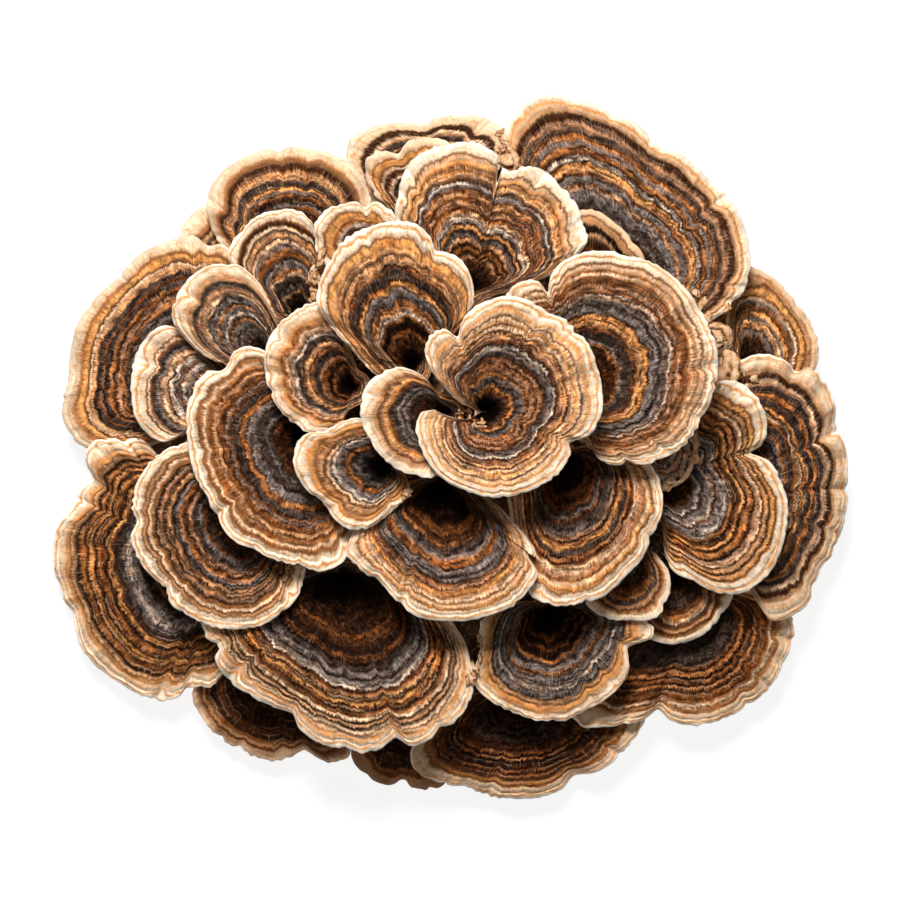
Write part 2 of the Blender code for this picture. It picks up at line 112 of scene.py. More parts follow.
def closed_shell(name, rings, top, bottom):
    """A closed surface from rings of points, listed from the top pole down and each running
    anticlockwise seen from above: quads between neighbouring rings, and a fan of triangles
    at each pole. Returns the object."""
    rows, columns = rings.shape[:2]
    places = np.concatenate((top[None], rings.reshape(-1, 3), bottom[None])) * MM
    column = np.arange(columns)
    following = (column + 1) % columns
    upper = 1 + np.arange(rows - 1)[:, None] * columns
    quads = np.stack((upper + column, upper + columns + column,
                      upper + columns + following, upper + following), axis=-1).reshape(-1, 4)
    first = np.stack((np.zeros(columns, int), 1 + column, 1 + following), axis=-1)
    last = 1 + (rows - 1) * columns
    final = np.stack((last + following, last + column, np.full(columns, len(places) - 1)), axis=-1)
    mesh = bpy.data.meshes.new(name)
    mesh.vertices.add(len(places))
    mesh.vertices.foreach_set("co", places.ravel())
    corners = np.concatenate((first.ravel(), quads.ravel(), final.ravel()))
    sizes = np.concatenate((np.full(columns, 3), np.full(len(quads), 4), np.full(columns, 3)))
    mesh.loops.add(len(corners))
    mesh.loops.foreach_set("vertex_index", corners)
    mesh.polygons.add(len(sizes))
    mesh.polygons.foreach_set("loop_start", np.concatenate(((0,), np.cumsum(sizes)[:-1])))
    mesh.polygons.foreach_set("use_smooth", np.ones(len(sizes), bool))
    mesh.update(calc_edges=True)
    return placed(name, mesh)


def bake_map(piece, flat, top, bottom):
    """A UV map without overlaps: flat holds a place for every ring point, and the poles get
    theirs. Written corner by corner from the points."""
    mesh = piece.data
    every = np.concatenate((top[None], flat.reshape(-1, 2), bottom[None]))
    index = np.empty(len(mesh.loops), int)
    mesh.loops.foreach_get("vertex_index", index)
    layer = mesh.uv_layers.new(name="OFBake")
    layer.uv.foreach_set("vector", every[index].ravel())


def mound_rings():
    """Upper rings from the crown to the rim on the profile, lumpy, then the slanted lip and
    the cut face back to its middle. The lumps fade out towards the lip."""
    bearing = np.arange(MOUND_COLUMNS) * (2.0 * math.pi / MOUND_COLUMNS)
    share = np.linspace(0.0, 1.0, MOUND_ROWS + 1)[1:, None]
    cut = np.linspace(MOUND_CUT_SHARE, 0.0, MOUND_CUT_ROWS + 1)[:-1, None]
    away = np.concatenate((share, cut)) * mound_rim(bearing)
    x, y = CROWN_X + away * np.cos(bearing), CROWN_Y + away * np.sin(bearing)
    z = np.concatenate((mound_height(x[:MOUND_ROWS], y[:MOUND_ROWS]), np.zeros_like(cut * bearing)))
    rings = np.stack((x, y, z), axis=-1)
    lift = sum(high * (flesh_noise(rings, size, number) - LUMP_LEVEL)
               for number, (size, high) in enumerate(MOUND_LUMPS))
    fade = np.clip((1.0 - share) / LUMP_FADE, 0.0, 1.0)
    rings[:MOUND_ROWS, :, 2] += lift[:MOUND_ROWS] * fade
    return rings


def mound_map(places, part):
    """Places on the mound flattened into their part of the baking map."""
    scale, middle = part
    return places[..., :2] / MAP_SPAN * MAP_FILL * scale + middle


class Flesh:
    """A material in the making: its tree, its shader's inputs, and short ways to add nodes."""

    def __init__(self, name, roughness, specular):
        self.material = bpy.data.materials.new(name)
        self.material.use_nodes = True
        self.tree = self.material.node_tree
        self.inputs = self.tree.nodes["Principled BSDF"].inputs
        for socket, value in (("Metallic", 0.0), ("Roughness", roughness), ("Specular IOR Level", specular)):
            self.inputs[socket].default_value = value

    def add(self, kind, settings=(), **sockets):
        """A new node. A socket goes by its word, or by _ and its number, and takes a value or
        the output of another node."""
        node = self.tree.nodes.new("ShaderNode" + kind)
        for key, value in dict(settings).items():
            setattr(node, key, value)
        for key, value in sockets.items():
            socket = node.inputs[int(key[1:])] if key[1:].isdigit() else node.inputs[key]
            if isinstance(value, bpy.types.NodeSocket):
                self.tree.links.new(value, socket)
            else:
                socket.default_value = value
        return node

    def attribute(self, name, output="Fac"):
        return self.add("Attribute", {"attribute_name": name}).outputs[output]

    def maths(self, operation, *numbers):
        sockets = {"_%d" % at: number for at, number in enumerate(numbers)}
        return self.add("Math", {"operation": operation}, **sockets).outputs[0]

    def plus(self, a, b):
        return self.maths("ADD", a, b)

    def times(self, a, b):
        return self.maths("MULTIPLY", a, b)

    def between(self, value, low, high, to_low=0.0, to_high=1.0, kind="SMOOTHSTEP"):
        """The value's way from low to high as a way from to_low to to_high, and no further."""
        return self.add("MapRange", {"interpolation_type": kind}, Value=value,
                        _1=low, _2=high, _3=to_low, _4=to_high).outputs["Result"]

    def blend(self, kind, amount, under, over):
        return self.add("Mix", {"data_type": "RGBA", "blend_type": kind},
                        _0=amount, _6=under, _7=over).outputs[2]

    def noise(self, place, scale, detail, roughness=0.5, distortion=0.0):
        """Noise with this many cells in each unit of the place, which is a metre for Object."""
        return self.add("TexNoise", Vector=place, Scale=scale, Detail=detail, Roughness=roughness,
                        Distortion=distortion).outputs["Fac"]

    def ramp(self, value, stops, kind="LINEAR"):
        """Colours a value by stops of (value, colour), listed from low to high."""
        node = self.add("ValToRGB", Fac=value)
        node.color_ramp.interpolation = kind
        elements = node.color_ramp.elements
        elements.remove(elements[-1])
        for number, (position, colour) in enumerate(stops):
            element = elements[0] if number == 0 else elements.new(position)
            element.position = position
            element.color = (*colour, 1.0)
        return node.outputs["Color"]

    def finished(self, colour, relief, strength, height):
        """The material with this colour, and bumps from the relief, their height in metres."""
        bump = self.add("Bump", Strength=strength, Distance=height, Height=relief)
        self.tree.links.new(colour, self.inputs["Base Color"])
        self.tree.links.new(bump.outputs["Normal"], self.inputs["Normal"])
        return self.material


def mound_flesh():
    """Dark brown woody flesh: three sizes of noise pick between near-black, brown and a pale
    felt of threads, and the same noise makes the rough relief. The cut face is paler."""
    flesh = Flesh("mound flesh", 0.9, 0.12)
    place = flesh.add("TexCoord").outputs["Object"]
    coarse = flesh.noise(place, 160.0, 6.0, 0.65)
    fine = flesh.noise(place, 1100.0, 4.0, 0.7)
    threads = flesh.noise(place, 420.0, 2.0, distortion=2.5)
    colour = flesh.ramp(coarse, ((0.30, (0.012, 0.005, 0.0025)), (0.48, (0.060, 0.025, 0.010)),
                                 (0.62, (0.15, 0.075, 0.035)), (0.80, (0.30, 0.18, 0.10))))
    felt = flesh.between(threads, 0.56, 0.72, kind="LINEAR")
    colour = flesh.blend("MIX", felt, colour, (0.36, 0.24, 0.14, 1.0))
    height = flesh.add("SeparateXYZ", Vector=place).outputs["Z"]
    at_cut = flesh.between(height, 0.0002, 0.0006, 1.0, 0.0, "LINEAR")      # in metres
    sawn = flesh.ramp(coarse, ((0.36, (0.13, 0.070, 0.036)), (0.50, (0.27, 0.175, 0.100)),
                               (0.66, (0.40, 0.290, 0.185))))
    colour = flesh.blend("MIX", at_cut, colour, sawn)
    colour = flesh.blend("MULTIPLY", 1.0, colour, flesh.between(fine, 0.0, 1.0, 0.55, 1.35, "LINEAR"))
    return flesh.finished(colour, flesh.plus(coarse, fine), 0.7, 0.0006)


rings = mound_rings()
mound_top = np.array((CROWN_X, CROWN_Y, MOUND_PROFILE[0, 1]))
mound_sole = np.array((CROWN_X, CROWN_Y, 0.0))
mound = closed_shell("mound", rings, mound_top, mound_sole)
flat = np.concatenate((mound_map(rings[:MOUND_ROWS], UPPER_MAP), mound_map(rings[MOUND_ROWS:], CUT_MAP)))
bake_map(mound, flat, mound_map(mound_top, UPPER_MAP), mound_map(mound_sole, CUT_MAP))
mound.data.materials.append(mound_flesh())
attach(mound, "root")
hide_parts("base")

# ------------------------------------------------------------------------------------------
# The centre cap. A curled, slit funnel of thin leathery flesh that stands on the crown, banded
# by the seasons of its growth: velvety above, with a cream growing edge, and finely pored below.
# ------------------------------------------------------------------------------------------
BACK_REACH, BACK_TURN, BACK_STEP = 4.5, 30.0, 60.0  # the short back of a cap's outline
CURVE_SAMPLES = 6001  # places on the curve to measure it
COLUMN_STEP, ROW_STEP = 0.50, 0.45  # spacing of the points on a cap
COLUMN_LIMITS, ROW_LIMITS = (90, 560), (24, 130)
ROW_CROWDING = 0.60  # rows lie closer towards the margin
USUAL_REACH = 75  # three quarters of the columns reach less far than the usual reach
CLIMB_POWER, DROOP_POWER, DROOP_SPREAD, SIDE_POWER = 1.8, 2.5, 1.3, 0.75
PIT_DEPTH, PIT_RADIUS = 2.4, 1.8  # the hollow at the foot
EDGE_THICKNESS, FOOT_THICKNESS, THICKENING = 1.0, 3.2, 1.5
ROLL_WIDTH, ROLL_DROP, LIP_IN, LIP_DROP = 0.7, 0.16, 0.06, 0.40  # the rounded edge
SOLE_IN, SOLE_RIM = 0.35, 0.98  # the underside starts inside the edge
UNDER_ROWS, NECK_ROWS, NECK_SHADE = 26, 10, 0.3  # and the share counted at the neck
NECK_RADIUS, NECK_SPREAD, NECK_CURVE = 3.0, 2.2, 2.2  # the neck, and how its foot spreads
NECK_SINK, SOLE_SINK = 0.6, 0.8  # depth of its ends in the mound
NECK_MOST = 0.8  # share of a short column's reach
THIN_START, THIN_RISE = 0.75, 6.0  # the underside is thinner where it starts
EVENING = 6.0  # length over which a margin is evened
EVEN_DEPTH = 7.0  # how far in the notches still show
FREE_FROM, FREE_OVER = 1.5, 6.0  # past the short back, where margins start to wave
NICK_SPACING, NICK_WIDTHS, NICK_DEPTHS, NICK_POWER = 7.5, (0.6, 2.0), (0.10, 0.65), 1.4
NOTCH_SIZE, NOTCH_LIMITS, NOTCH_FOLD, NOTCH_POWER = 1.6, (-0.8, 1.6), 0.85, 4.5
CREASE_SPACING, CREASE_WIDTH, CREASE_POWER, LAP_WIDTH = 20.0, 1.5, 1.3, 3.5  # long folds
CREASE_STRENGTHS, CREASE_FOLD, LAP_FOLD = (0.3, 1.0), 1.2, 0.9  # depth, and the raised side
CREASE_SHIFT, CREASE_FADE = 2.2, 3.0  # how far it draws the bands in, and where in full
CREASE_END = 1.5  # power with which that ends towards the foot
CALM_WAVES, FRILL_WAVES = (10.0, 40.0, 5), (1.8, 7.0, 15)  # wavelengths and how many
LONG_WAVES, CRIMP_WAVES = (8.0, 22.0, 6), (2.6, 11.0, 13)
CALM_MIDDLE, CALM_SWING, CALM_LIMITS = 0.5, 0.45, (0.08, 1.2)  # where frills are weaker
WAVE_FOLD, WAVE_POWER, FRILL_OUT, FRILL_POWER = 0.65, 2.5, 0.20, 10
SLOW_POWER, SLOW_LIMITS = 0.6, (0.3, 1.15)  # short sides have narrower bands
ROUND_SHARE = 0.75  # share from the margin where the bands have become round
SWAYS = ((1.0, 7.0, 0), (0.35, 2.4, 50))  # strength, size and number of the noise in the bands
SWAY_WIDTH, SWAY_FADE, SWAY_STRETCH = 1.3, 4.0, (1.0, 1.0, 0.4)
IDLE_SHARE, IDLE_FADE, IDLE_DEPTH = 0.62, 0.25, 2.6  # short sides have stopped growing
LEAST_RIDGE, RIDGE_HEIGHT, RIDGE_SLOPE = 1.3, 0.50, 0.35  # between two growth lines
CRIMP_HEIGHT, CRIMP_DEPTH, PLEAT_HEIGHT, ROUGHNESS = 0.22, 9.0, 0.40, 0.18
TEETH, STRENGTH, GRAIN, PLEATS, WRINKLES = (  # noises: factor inwards, size and number
    (0.25, 1.3, 23), (0.70, 5.0, 41), (0.35, 0.8, 7), (0.18, 1.7, 31), (1.00, 1.5, 61))
TOOTH_SWING, LEAST_STRENGTH, STRENGTH_SWING = 1.2, 0.35, 1.3  # how noise changes the ridges
RELIEF_SHARE, RELIEF_DEPTH, EDGE_RELIEF = 0.15, 1.2, 0.25  # where the relief is in full
HOOK_START, HOOK_END, HOOK_FADE = np.radians((170.0, 255.0, 45.0))  # the lobe that the hook swings
HOOK_FROM, HOOK_OVER, HOOK_POWER = 5.0, 7.5, 0.8  # how far out it starts, and over what length
CAP_MAP, UNDER_MAP = (0.70, 0.01), (0.27, 0.72)  # scale and start on the baking map


def add_numbers(piece, name, values, top, bottom):
    """Keeps a number, or three, at every point of a shell, for its material to read."""
    width = values.shape[-1] if values.ndim == 3 else 1
    every = np.concatenate((np.atleast_1d(top), values.reshape(-1), np.atleast_1d(bottom)))
    kind, field = ("FLOAT", "value") if width == 1 else ("FLOAT_VECTOR", "vector")
    piece.data.attributes.new(name, kind, "POINT").data.foreach_set(field, every)


def margin_outline(foot, margin):
    """Bearings and reaches of the margin's places, seen from the foot, in turning order, with
    a short arc closed behind the foot where no place is given."""
    away = np.array(margin.replace(",", " ").split(), float).reshape(-1, 2) - foot[:2]
    bearing = np.degrees(np.arctan2(away[:, 1], away[:, 0])) % 360.0
    order = np.argsort(bearing)
    bearing, reach = bearing[order], np.hypot(away[:, 0], away[:, 1])[order]
    turns = (bearing - np.roll(bearing, 1)) % 360.0
    widest = turns.argmax()
    turn = turns[widest] - 2.0 * BACK_TURN
    if turn > 0.0:
        steps = int(turn // BACK_STEP) + 1
        back = (bearing[widest - 1] + BACK_TURN + turn * np.arange(steps + 1) / steps) % 360.0
        bearing = np.concatenate((bearing, back))
        reach = np.concatenate((reach, np.full(steps + 1, BACK_REACH)))
    order = np.argsort(bearing)
    return np.radians(bearing[order]), reach[order]


def smooth_reach(bearings, reaches, asked):
    """A closed curve through the places: cubic pieces whose slopes are the weighted harmonic
    mean of the chords on both sides, and zero at a turning point, so that none overshoots."""
    full = 2.0 * math.pi
    a = np.concatenate((bearings[-2:] - full, bearings, bearings[:2] + full))
    r = np.concatenate((reaches[-2:], reaches, reaches[:2]))
    step = np.diff(a)
    chord = np.diff(r) / step
    before, after = chord[:-1], chord[1:]
    heavy, light = 2.0 * step[1:] + step[:-1], step[1:] + 2.0 * step[:-1]
    safe = np.where(before * after > 0.0, before * after, 1.0)
    mean = (heavy + light) * safe / (heavy * after + light * before + (before * after <= 0.0))
    slope = np.zeros_like(r)
    slope[1:-1] = np.where(before * after > 0.0, mean, 0.0)
    asked = asked % full
    k = np.clip(np.searchsorted(a, asked, side="right") - 1, 0, len(a) - 2)
    f = (asked - a[k]) / step[k]
    return ((2 * f ** 3 - 3 * f ** 2 + 1) * r[k] + (f ** 3 - 2 * f ** 2 + f) * step[k] * slope[k]
            + (3 * f ** 2 - 2 * f ** 3) * r[k + 1] + (f ** 3 - f ** 2) * step[k] * slope[k + 1])


def even_columns(foot, margin):
    """Bearings spaced evenly along the margin, their reach, and the length of the margin."""
    bearings, reaches = margin_outline(foot, margin)
    fine = np.linspace(0.0, 2.0 * math.pi, CURVE_SAMPLES)
    reach = smooth_reach(bearings, reaches, fine)
    run = np.hypot(np.diff(reach * np.cos(fine)), np.diff(reach * np.sin(fine)))
    run = np.concatenate(((0.0,), np.cumsum(run)))
    columns = int(np.clip(run[-1] / COLUMN_STEP, *COLUMN_LIMITS))
    arc = np.arange(columns) * run[-1] / columns
    bearing = np.interp(arc, run, fine)
    return bearing, smooth_reach(bearings, reaches, bearing), arc, run[-1]


def ripples(arc, length, chance, waves):
    """Waves round a closed margin: a sum of sines with whole numbers of waves, between the two
    wavelengths, with random strengths and phases, about 1 high."""
    shortest, longest, count = waves
    turns = chance.integers(max(1, int(length / longest)), max(3, int(length / shortest)), count)
    strength = chance.uniform(0.4, 1.0, count)
    phase = chance.uniform(0.0, 2.0 * math.pi, count)
    angle = 2.0 * math.pi * arc[..., None] / length * turns + phase
    return (strength * np.sin(angle)).sum(axis=-1) / np.sqrt((strength ** 2).sum())


def evened(values, arc, length, width):
    """The values along the margin, each averaged with its neighbours by a bell of this width."""
    bell = np.exp(-0.5 * (np.minimum(arc, length - arc) / width) ** 2)
    return np.fft.ifft(np.fft.fft(values) * np.fft.fft(bell / bell.sum())).real


def growth_lines(bands):
    """Depths in from the margin of the old growth lines: the inner edges of the listed bands,
    without those that would leave a ridge of growth narrower than the least."""
    kept = [0.0]
    for edge in np.cumsum([float(word[1:]) for word in bands.split()]):
        if edge - kept[-1] >= LEAST_RIDGE:
            kept.append(edge)
    return np.array(kept)


def cap_margin(foot, margin, seed):
    """Everything that is known for each column of a cap: its bearing, its reach with small nicks
    in it, how far that lies in a notch, the creases and the sides that lap over them, waves of
    three kinds, and how far the column faces outwards and has stopped growing."""
    chance = np.random.default_rng(seed)
    bearing, reach, arc, length = even_columns(foot, margin)
    furthest, usual = reach.max(), np.percentile(reach, USUAL_REACH)
    free = np.clip((reach - BACK_REACH - FREE_FROM) / FREE_OVER, 0.0, 1.0)
    nicks = int(length / NICK_SPACING)
    off = np.abs(arc[:, None] - chance.uniform(0.0, length, nicks))
    off = np.minimum(off, length - off) / chance.uniform(*NICK_WIDTHS, nicks)
    reach = reach - (chance.uniform(*NICK_DEPTHS, nicks) * np.exp(-off ** NICK_POWER)).sum(axis=1) * free
    even = evened(reach, arc, length, EVENING)
    notch = np.clip((even - reach) / NOTCH_SIZE, *NOTCH_LIMITS)

    creasing = np.random.default_rng(seed + 700)
    creases = max(2, int(length / CREASE_SPACING))
    beside = (arc[:, None] - creasing.uniform(0.0, length, creases) + length / 2) % length - length / 2
    sharp = creasing.uniform(*CREASE_STRENGTHS, creases)
    crease = (sharp * np.exp(-(np.abs(beside) / CREASE_WIDTH) ** CREASE_POWER)).sum(axis=1) * free
    lap = (sharp * np.where(beside > 0.0, np.exp(-beside / LAP_WIDTH), 0.0)).sum(axis=1) * free
    calm = CALM_MIDDLE + CALM_SWING * ripples(arc, length, chance, CALM_WAVES)
    calm = np.clip(calm, *CALM_LIMITS) * free
    frill = ripples(arc, length, chance, FRILL_WAVES) * calm
    wave = ripples(arc, length, chance, LONG_WAVES) * free
    crimp = ripples(arc, length, chance, CRIMP_WAVES) * calm

    facing, idle = np.ones(len(bearing)), np.zeros(len(bearing))
    east, north = foot[0] - CROWN_X, foot[1] - CROWN_Y
    if math.hypot(east, north) > 0.0:
        facing = np.clip(np.cos(bearing - math.atan2(north, east)), 0.0, None) ** DROOP_SPREAD
        idle = np.clip((IDLE_SHARE - reach / usual) / IDLE_FADE, 0.0, 1.0)
    return SimpleNamespace(bearing=bearing, reach=reach, arc=arc, length=length, even=even, notch=notch,
                           crease=crease, lap=lap, frill=frill, wave=wave, crimp=crimp, facing=facing,
                           idle=idle, furthest=furthest, usual=usual)


def growth_depth(edge, share, seed, evening):
    """How many millimetres in from the margin each point grew: deeper in, from an evened margin,
    and near the foot from a round one. Short sides grew more slowly, and have narrower bands.
    Creases draw the bands inwards, and noise sways them. Returns it, and for every point its
    place along the margin, bent to a circle, with its depth before the sway."""
    reach, usual, inner = edge.reach, edge.usual, 1.0 - share
    ease = np.clip(inner * reach / EVEN_DEPTH, 0.0, 1.0)
    ease = ease * ease * (3.0 - 2.0 * ease)
    growth = inner * reach + ease * (evened(reach, edge.arc, edge.length, evening) - reach)
    growth = growth / np.clip((reach / usual) ** SLOW_POWER, *SLOW_LIMITS) + IDLE_DEPTH * edge.idle
    round_out = np.clip(inner / ROUND_SHARE, 0.0, 1.0) ** 2
    growth = growth * (1.0 - round_out) + inner * usual * round_out
    drawn = np.clip(growth / CREASE_FADE, 0.0, 1.0)
    growth = growth - CREASE_SHIFT * edge.crease * (1.0 - inner) ** CREASE_END * drawn
    turn = 2 * math.pi * edge.arc / edge.length
    ray = np.stack((np.cos(turn), np.sin(turn)), axis=-1) * edge.length / (2.0 * math.pi)
    spot = np.concatenate((np.broadcast_to(ray, (*growth.shape, 2)), growth[..., None]), axis=-1)
    sway = sum(strength * (flesh_noise(spot * SWAY_STRETCH, size, seed + number) - 0.5)
               for strength, size, number in SWAYS)
    return growth + sway * SWAY_WIDTH * np.clip(growth / SWAY_FADE, 0.0, 1.0), spot


def growth_relief(edge, share, growth, spot, bands, seed, crumple):
    """The number of growth lines from the margin in to each point, and the point's height over
    the smooth cap: a ridge between two lines, stronger and weaker with noise, crimps near the
    margin, pleats along the rays, and sharp wrinkles where the noise crosses its middle."""
    def noise(kind):
        """Noise of its size along the margin, drawn out along the rays by 1 / inward."""
        inward, size, number = kind
        return flesh_noise(spot * (1.0, 1.0, inward), size, seed + number)

    line_at = growth_lines(bands)
    furrow = np.interp(growth, line_at, np.arange(len(line_at)))
    furrow += np.clip(growth - line_at[-1], 0.0, None) / LEAST_RIDGE
    within = furrow - np.floor(furrow)
    ridge = 1.0 - np.abs(2.0 * within - 1.0) ** 3
    tooth = TOOTH_SWING * (noise(TEETH) - 0.5)
    strong = LEAST_STRENGTH + STRENGTH_SWING * noise(STRENGTH)
    relief = RIDGE_HEIGHT * strong * (ridge * (1.0 + tooth) - RIDGE_SLOPE * within)
    relief += ROUGHNESS * (noise(GRAIN) - 0.5)
    relief += CRIMP_HEIGHT * edge.crimp * np.clip(1.0 - growth / CRIMP_DEPTH, 0.0, 1.0)
    relief += PLEAT_HEIGHT * (noise(PLEATS) - 0.5)
    relief += crumple * (0.5 - 2.0 * np.abs(noise(WRINKLES) - 0.5))
    fade = np.clip(share / RELIEF_SHARE, 0.0, 1.0) * np.clip(growth / RELIEF_DEPTH, EDGE_RELIEF, 1.0)
    return furrow, relief * fade


def cap_shape(name, foot, rise, droop, margin, bands, seed, pit, hook, crumple, evening):
    """One cap as a closed shell. Each point of the upper face lies at a share s of its
    column's reach, at the height rise (1 - (1 - s)^1.8) - droop s^2.5, both lessened on short
    sides. Folds follow the notches of the margin, waves grow towards it, long creases run in
    from it with one side lapped up, and a pit lies at the foot. The growth lines' relief is
    added, and the edge is rolled down. The underside follows at the cap's thickness, and ends
    in a neck that spreads into the mound. A hook swings the lobe below the slit of the centre
    cap round the foot, by that angle at its margin."""
    edge = cap_margin(foot, margin, seed)
    bearing, reach = edge.bearing, edge.reach
    rows = int(np.clip(edge.furthest / ROW_STEP, *ROW_LIMITS))
    step = np.linspace(0.0, 1.0, rows + 1)[1:, None]
    share = ROW_CROWDING * step + (1.0 - ROW_CROWDING) * (1.0 - (1.0 - step) ** 2)
    growth, spot = growth_depth(edge, share, seed, evening)
    furrow, relief = growth_relief(edge, share, growth, spot, bands, seed, crumple)
    side = (edge.even / edge.furthest) ** SIDE_POWER
    swing = math.radians(hook) * np.clip((HOOK_END - bearing) / HOOK_FADE, 0.0, 1.0) * (bearing > HOOK_START)

    def smooth_height(s):
        climb = rise * (1.0 - (1.0 - s) ** CLIMB_POWER)
        fold = WAVE_FOLD * edge.wave * s ** WAVE_POWER - NOTCH_FOLD * edge.notch * s ** NOTCH_POWER
        fold = fold + (LAP_FOLD * edge.lap - CREASE_FOLD * edge.crease) * s ** 2
        fold = fold - pit * np.exp(-(s * reach / PIT_RADIUS) ** 2)
        return foot[2] + side * (climb - droop * edge.facing * s ** DROOP_POWER) + fold

    def place(away, height):
        turned = bearing - swing * np.clip((away - HOOK_FROM) / HOOK_OVER, 0.0, 1.0) ** HOOK_POWER
        x, y = foot[0] + away * np.cos(turned), foot[1] + away * np.sin(turned)
        return np.stack((x, y, np.broadcast_to(height, x.shape)), axis=-1)

    away = share * reach + FRILL_OUT * edge.frill * share ** FRILL_POWER
    roll = np.clip(1.0 - (1.0 - share) * reach / ROLL_WIDTH, 0.0, 1.0) ** 2
    height = smooth_height(share) + relief - ROLL_DROP * roll
    upper = place(away, height)
    lip = place(away[-1:] - LIP_IN, height[-1:] - LIP_DROP)

    neck_share = np.clip(NECK_RADIUS / reach, 0.0, NECK_MOST)
    step = np.linspace(0.0, 1.0, UNDER_ROWS)[:, None]
    under = 1.0 - (1.0 - neck_share) * step
    tuck = SOLE_IN * (under > SOLE_RIM)
    thick = EDGE_THICKNESS + (FOOT_THICKNESS - EDGE_THICKNESS) * (1.0 - under) ** THICKENING
    lower = place(under * reach + FRILL_OUT * edge.frill * under ** FRILL_POWER - tuck,
                  smooth_height(under) - tuck - thick * np.clip(THIN_START + step * THIN_RISE, 0.0, 1.0))
    fall = np.linspace(0.0, 1.0, NECK_ROWS + 1)[1:, None]
    stand = place(neck_share * reach + NECK_SPREAD * fall ** NECK_CURVE, 0.0)
    start = lower[-1, :, 2]
    floor = mound_height(stand[..., 0], stand[..., 1]) - NECK_SINK
    stand[..., 2] = np.minimum(start + (floor - start) * fall, start)
    rings = np.concatenate((upper, lip, lower, stand))
    top = np.array((foot[0], foot[1], foot[2] - pit))
    sole = np.array((foot[0], foot[1], mound_height(foot[0], foot[1]) - SOLE_SINK))
    piece = closed_shell(name, rings, top, sole)

    # The same numbers on both faces: the lip, the underside and the neck count on from the edge.
    count_on = np.concatenate(((1.0,), 1.0 - (1.0 - NECK_SHADE) * step[:, 0],
                               NECK_SHADE - NECK_SHADE * fall[:, 0]))
    share = np.concatenate((share, count_on[:, None])) * np.ones(len(bearing))
    depth = np.concatenate((growth, (1.0 - share[rows:]) * reach))[..., None]
    along = np.broadcast_to(spot[0, :, :2], (*share.shape, 2))
    foot_end = (0.0, 0.0, edge.usual)
    add_numbers(piece, "growth", np.concatenate((along, depth), axis=-1), foot_end, foot_end)
    furrow = np.concatenate((furrow, np.zeros_like(share[rows:])))
    add_numbers(piece, "furrow", furrow, furrow[0].mean(), 0.0)
    add_numbers(piece, "reach share", share, 0.0, 0.0)

    def flat(places, part):
        scale, start = part
        return start + scale * (places - low) / span

    plan = (share * reach)[..., None] * np.stack((np.cos(bearing), np.sin(bearing)), axis=-1)
    low = plan[:rows].min(axis=(0, 1))
    span = (plan[:rows].max(axis=(0, 1)) - low).max()
    bake_map(piece, np.concatenate((flat(plan[:rows], CAP_MAP), flat(plan[rows:], UNDER_MAP))),
             flat(0.0, CAP_MAP), flat(0.0, UNDER_MAP))
    below_lip = np.repeat(np.arange(-1, len(rings)), len(bearing)) > rows + 1
    piece.data.polygons.foreach_set("material_index", below_lip.astype(int))
    return piece, edge.usual


GROWTH_TINTS = {
    "W": (0.93, 0.790, 0.630),  # pale cream, the growing edge of the lower caps, made paler than C as painted light in their shade
    "C": (0.77, 0.680, 0.550),  # cream, the growing edge
    "c": (0.69, 0.530, 0.375),  # the inner side of the cream edge
    "w": (0.66, 0.445, 0.280),  # straw
    "t": (0.45, 0.235, 0.110),  # tan
    "P": (0.32, 0.170, 0.095),  # dusty pink-brown
    "a": (0.59, 0.275, 0.088),  # amber
    "o": (0.310, 0.124, 0.038),  # burnt orange
    "b": (0.150, 0.052, 0.014),  # brown
    "d": (0.044, 0.015, 0.0050),  # dark brown
    "k": (0.010, 0.0035, 0.0014),  # nearly black
    "g": (0.145, 0.124, 0.118),  # blue-grey
    "s": (0.042, 0.028, 0.0225),  # slate
    "p": (0.50, 0.420, 0.355),  # pale grey
    "l": (0.190, 0.085, 0.034),  # a thin dark line
}
MOST_STOPS, WIDE_BAND = 32, 1.2  # stops that a colour ramp can hold, and the least wide band


def band_stops(bands, usual):
    """Colour stops from a list of bands, such as "C2.2 l0.4 a1.5": a tint and its width,
    from the margin inwards. A wide band keeps its tint across its middle, as far as the ramp's
    stops allow. Returns the stops, the depth that the ramp covers, and the depth of the list."""
    listed = [(word[0], float(word[1:])) for word in bands.split()]
    depth = sum(width for tint, width in listed)
    total = max(usual, depth)
    widths = sorted((width for tint, width in listed), reverse=True)
    wide = max(WIDE_BAND, widths[min(MOST_STOPS - len(listed), len(widths) - 1)] + 0.01)
    stops, start = [], 0.0
    for tint, width in listed:
        spots = (start + 0.25 * width, start + 0.75 * width) if width >= wide else (start + 0.5 * width,)
        stops += [(spot / total, GROWTH_TINTS[tint]) for spot in spots]
        start += width
    return stops, total, depth


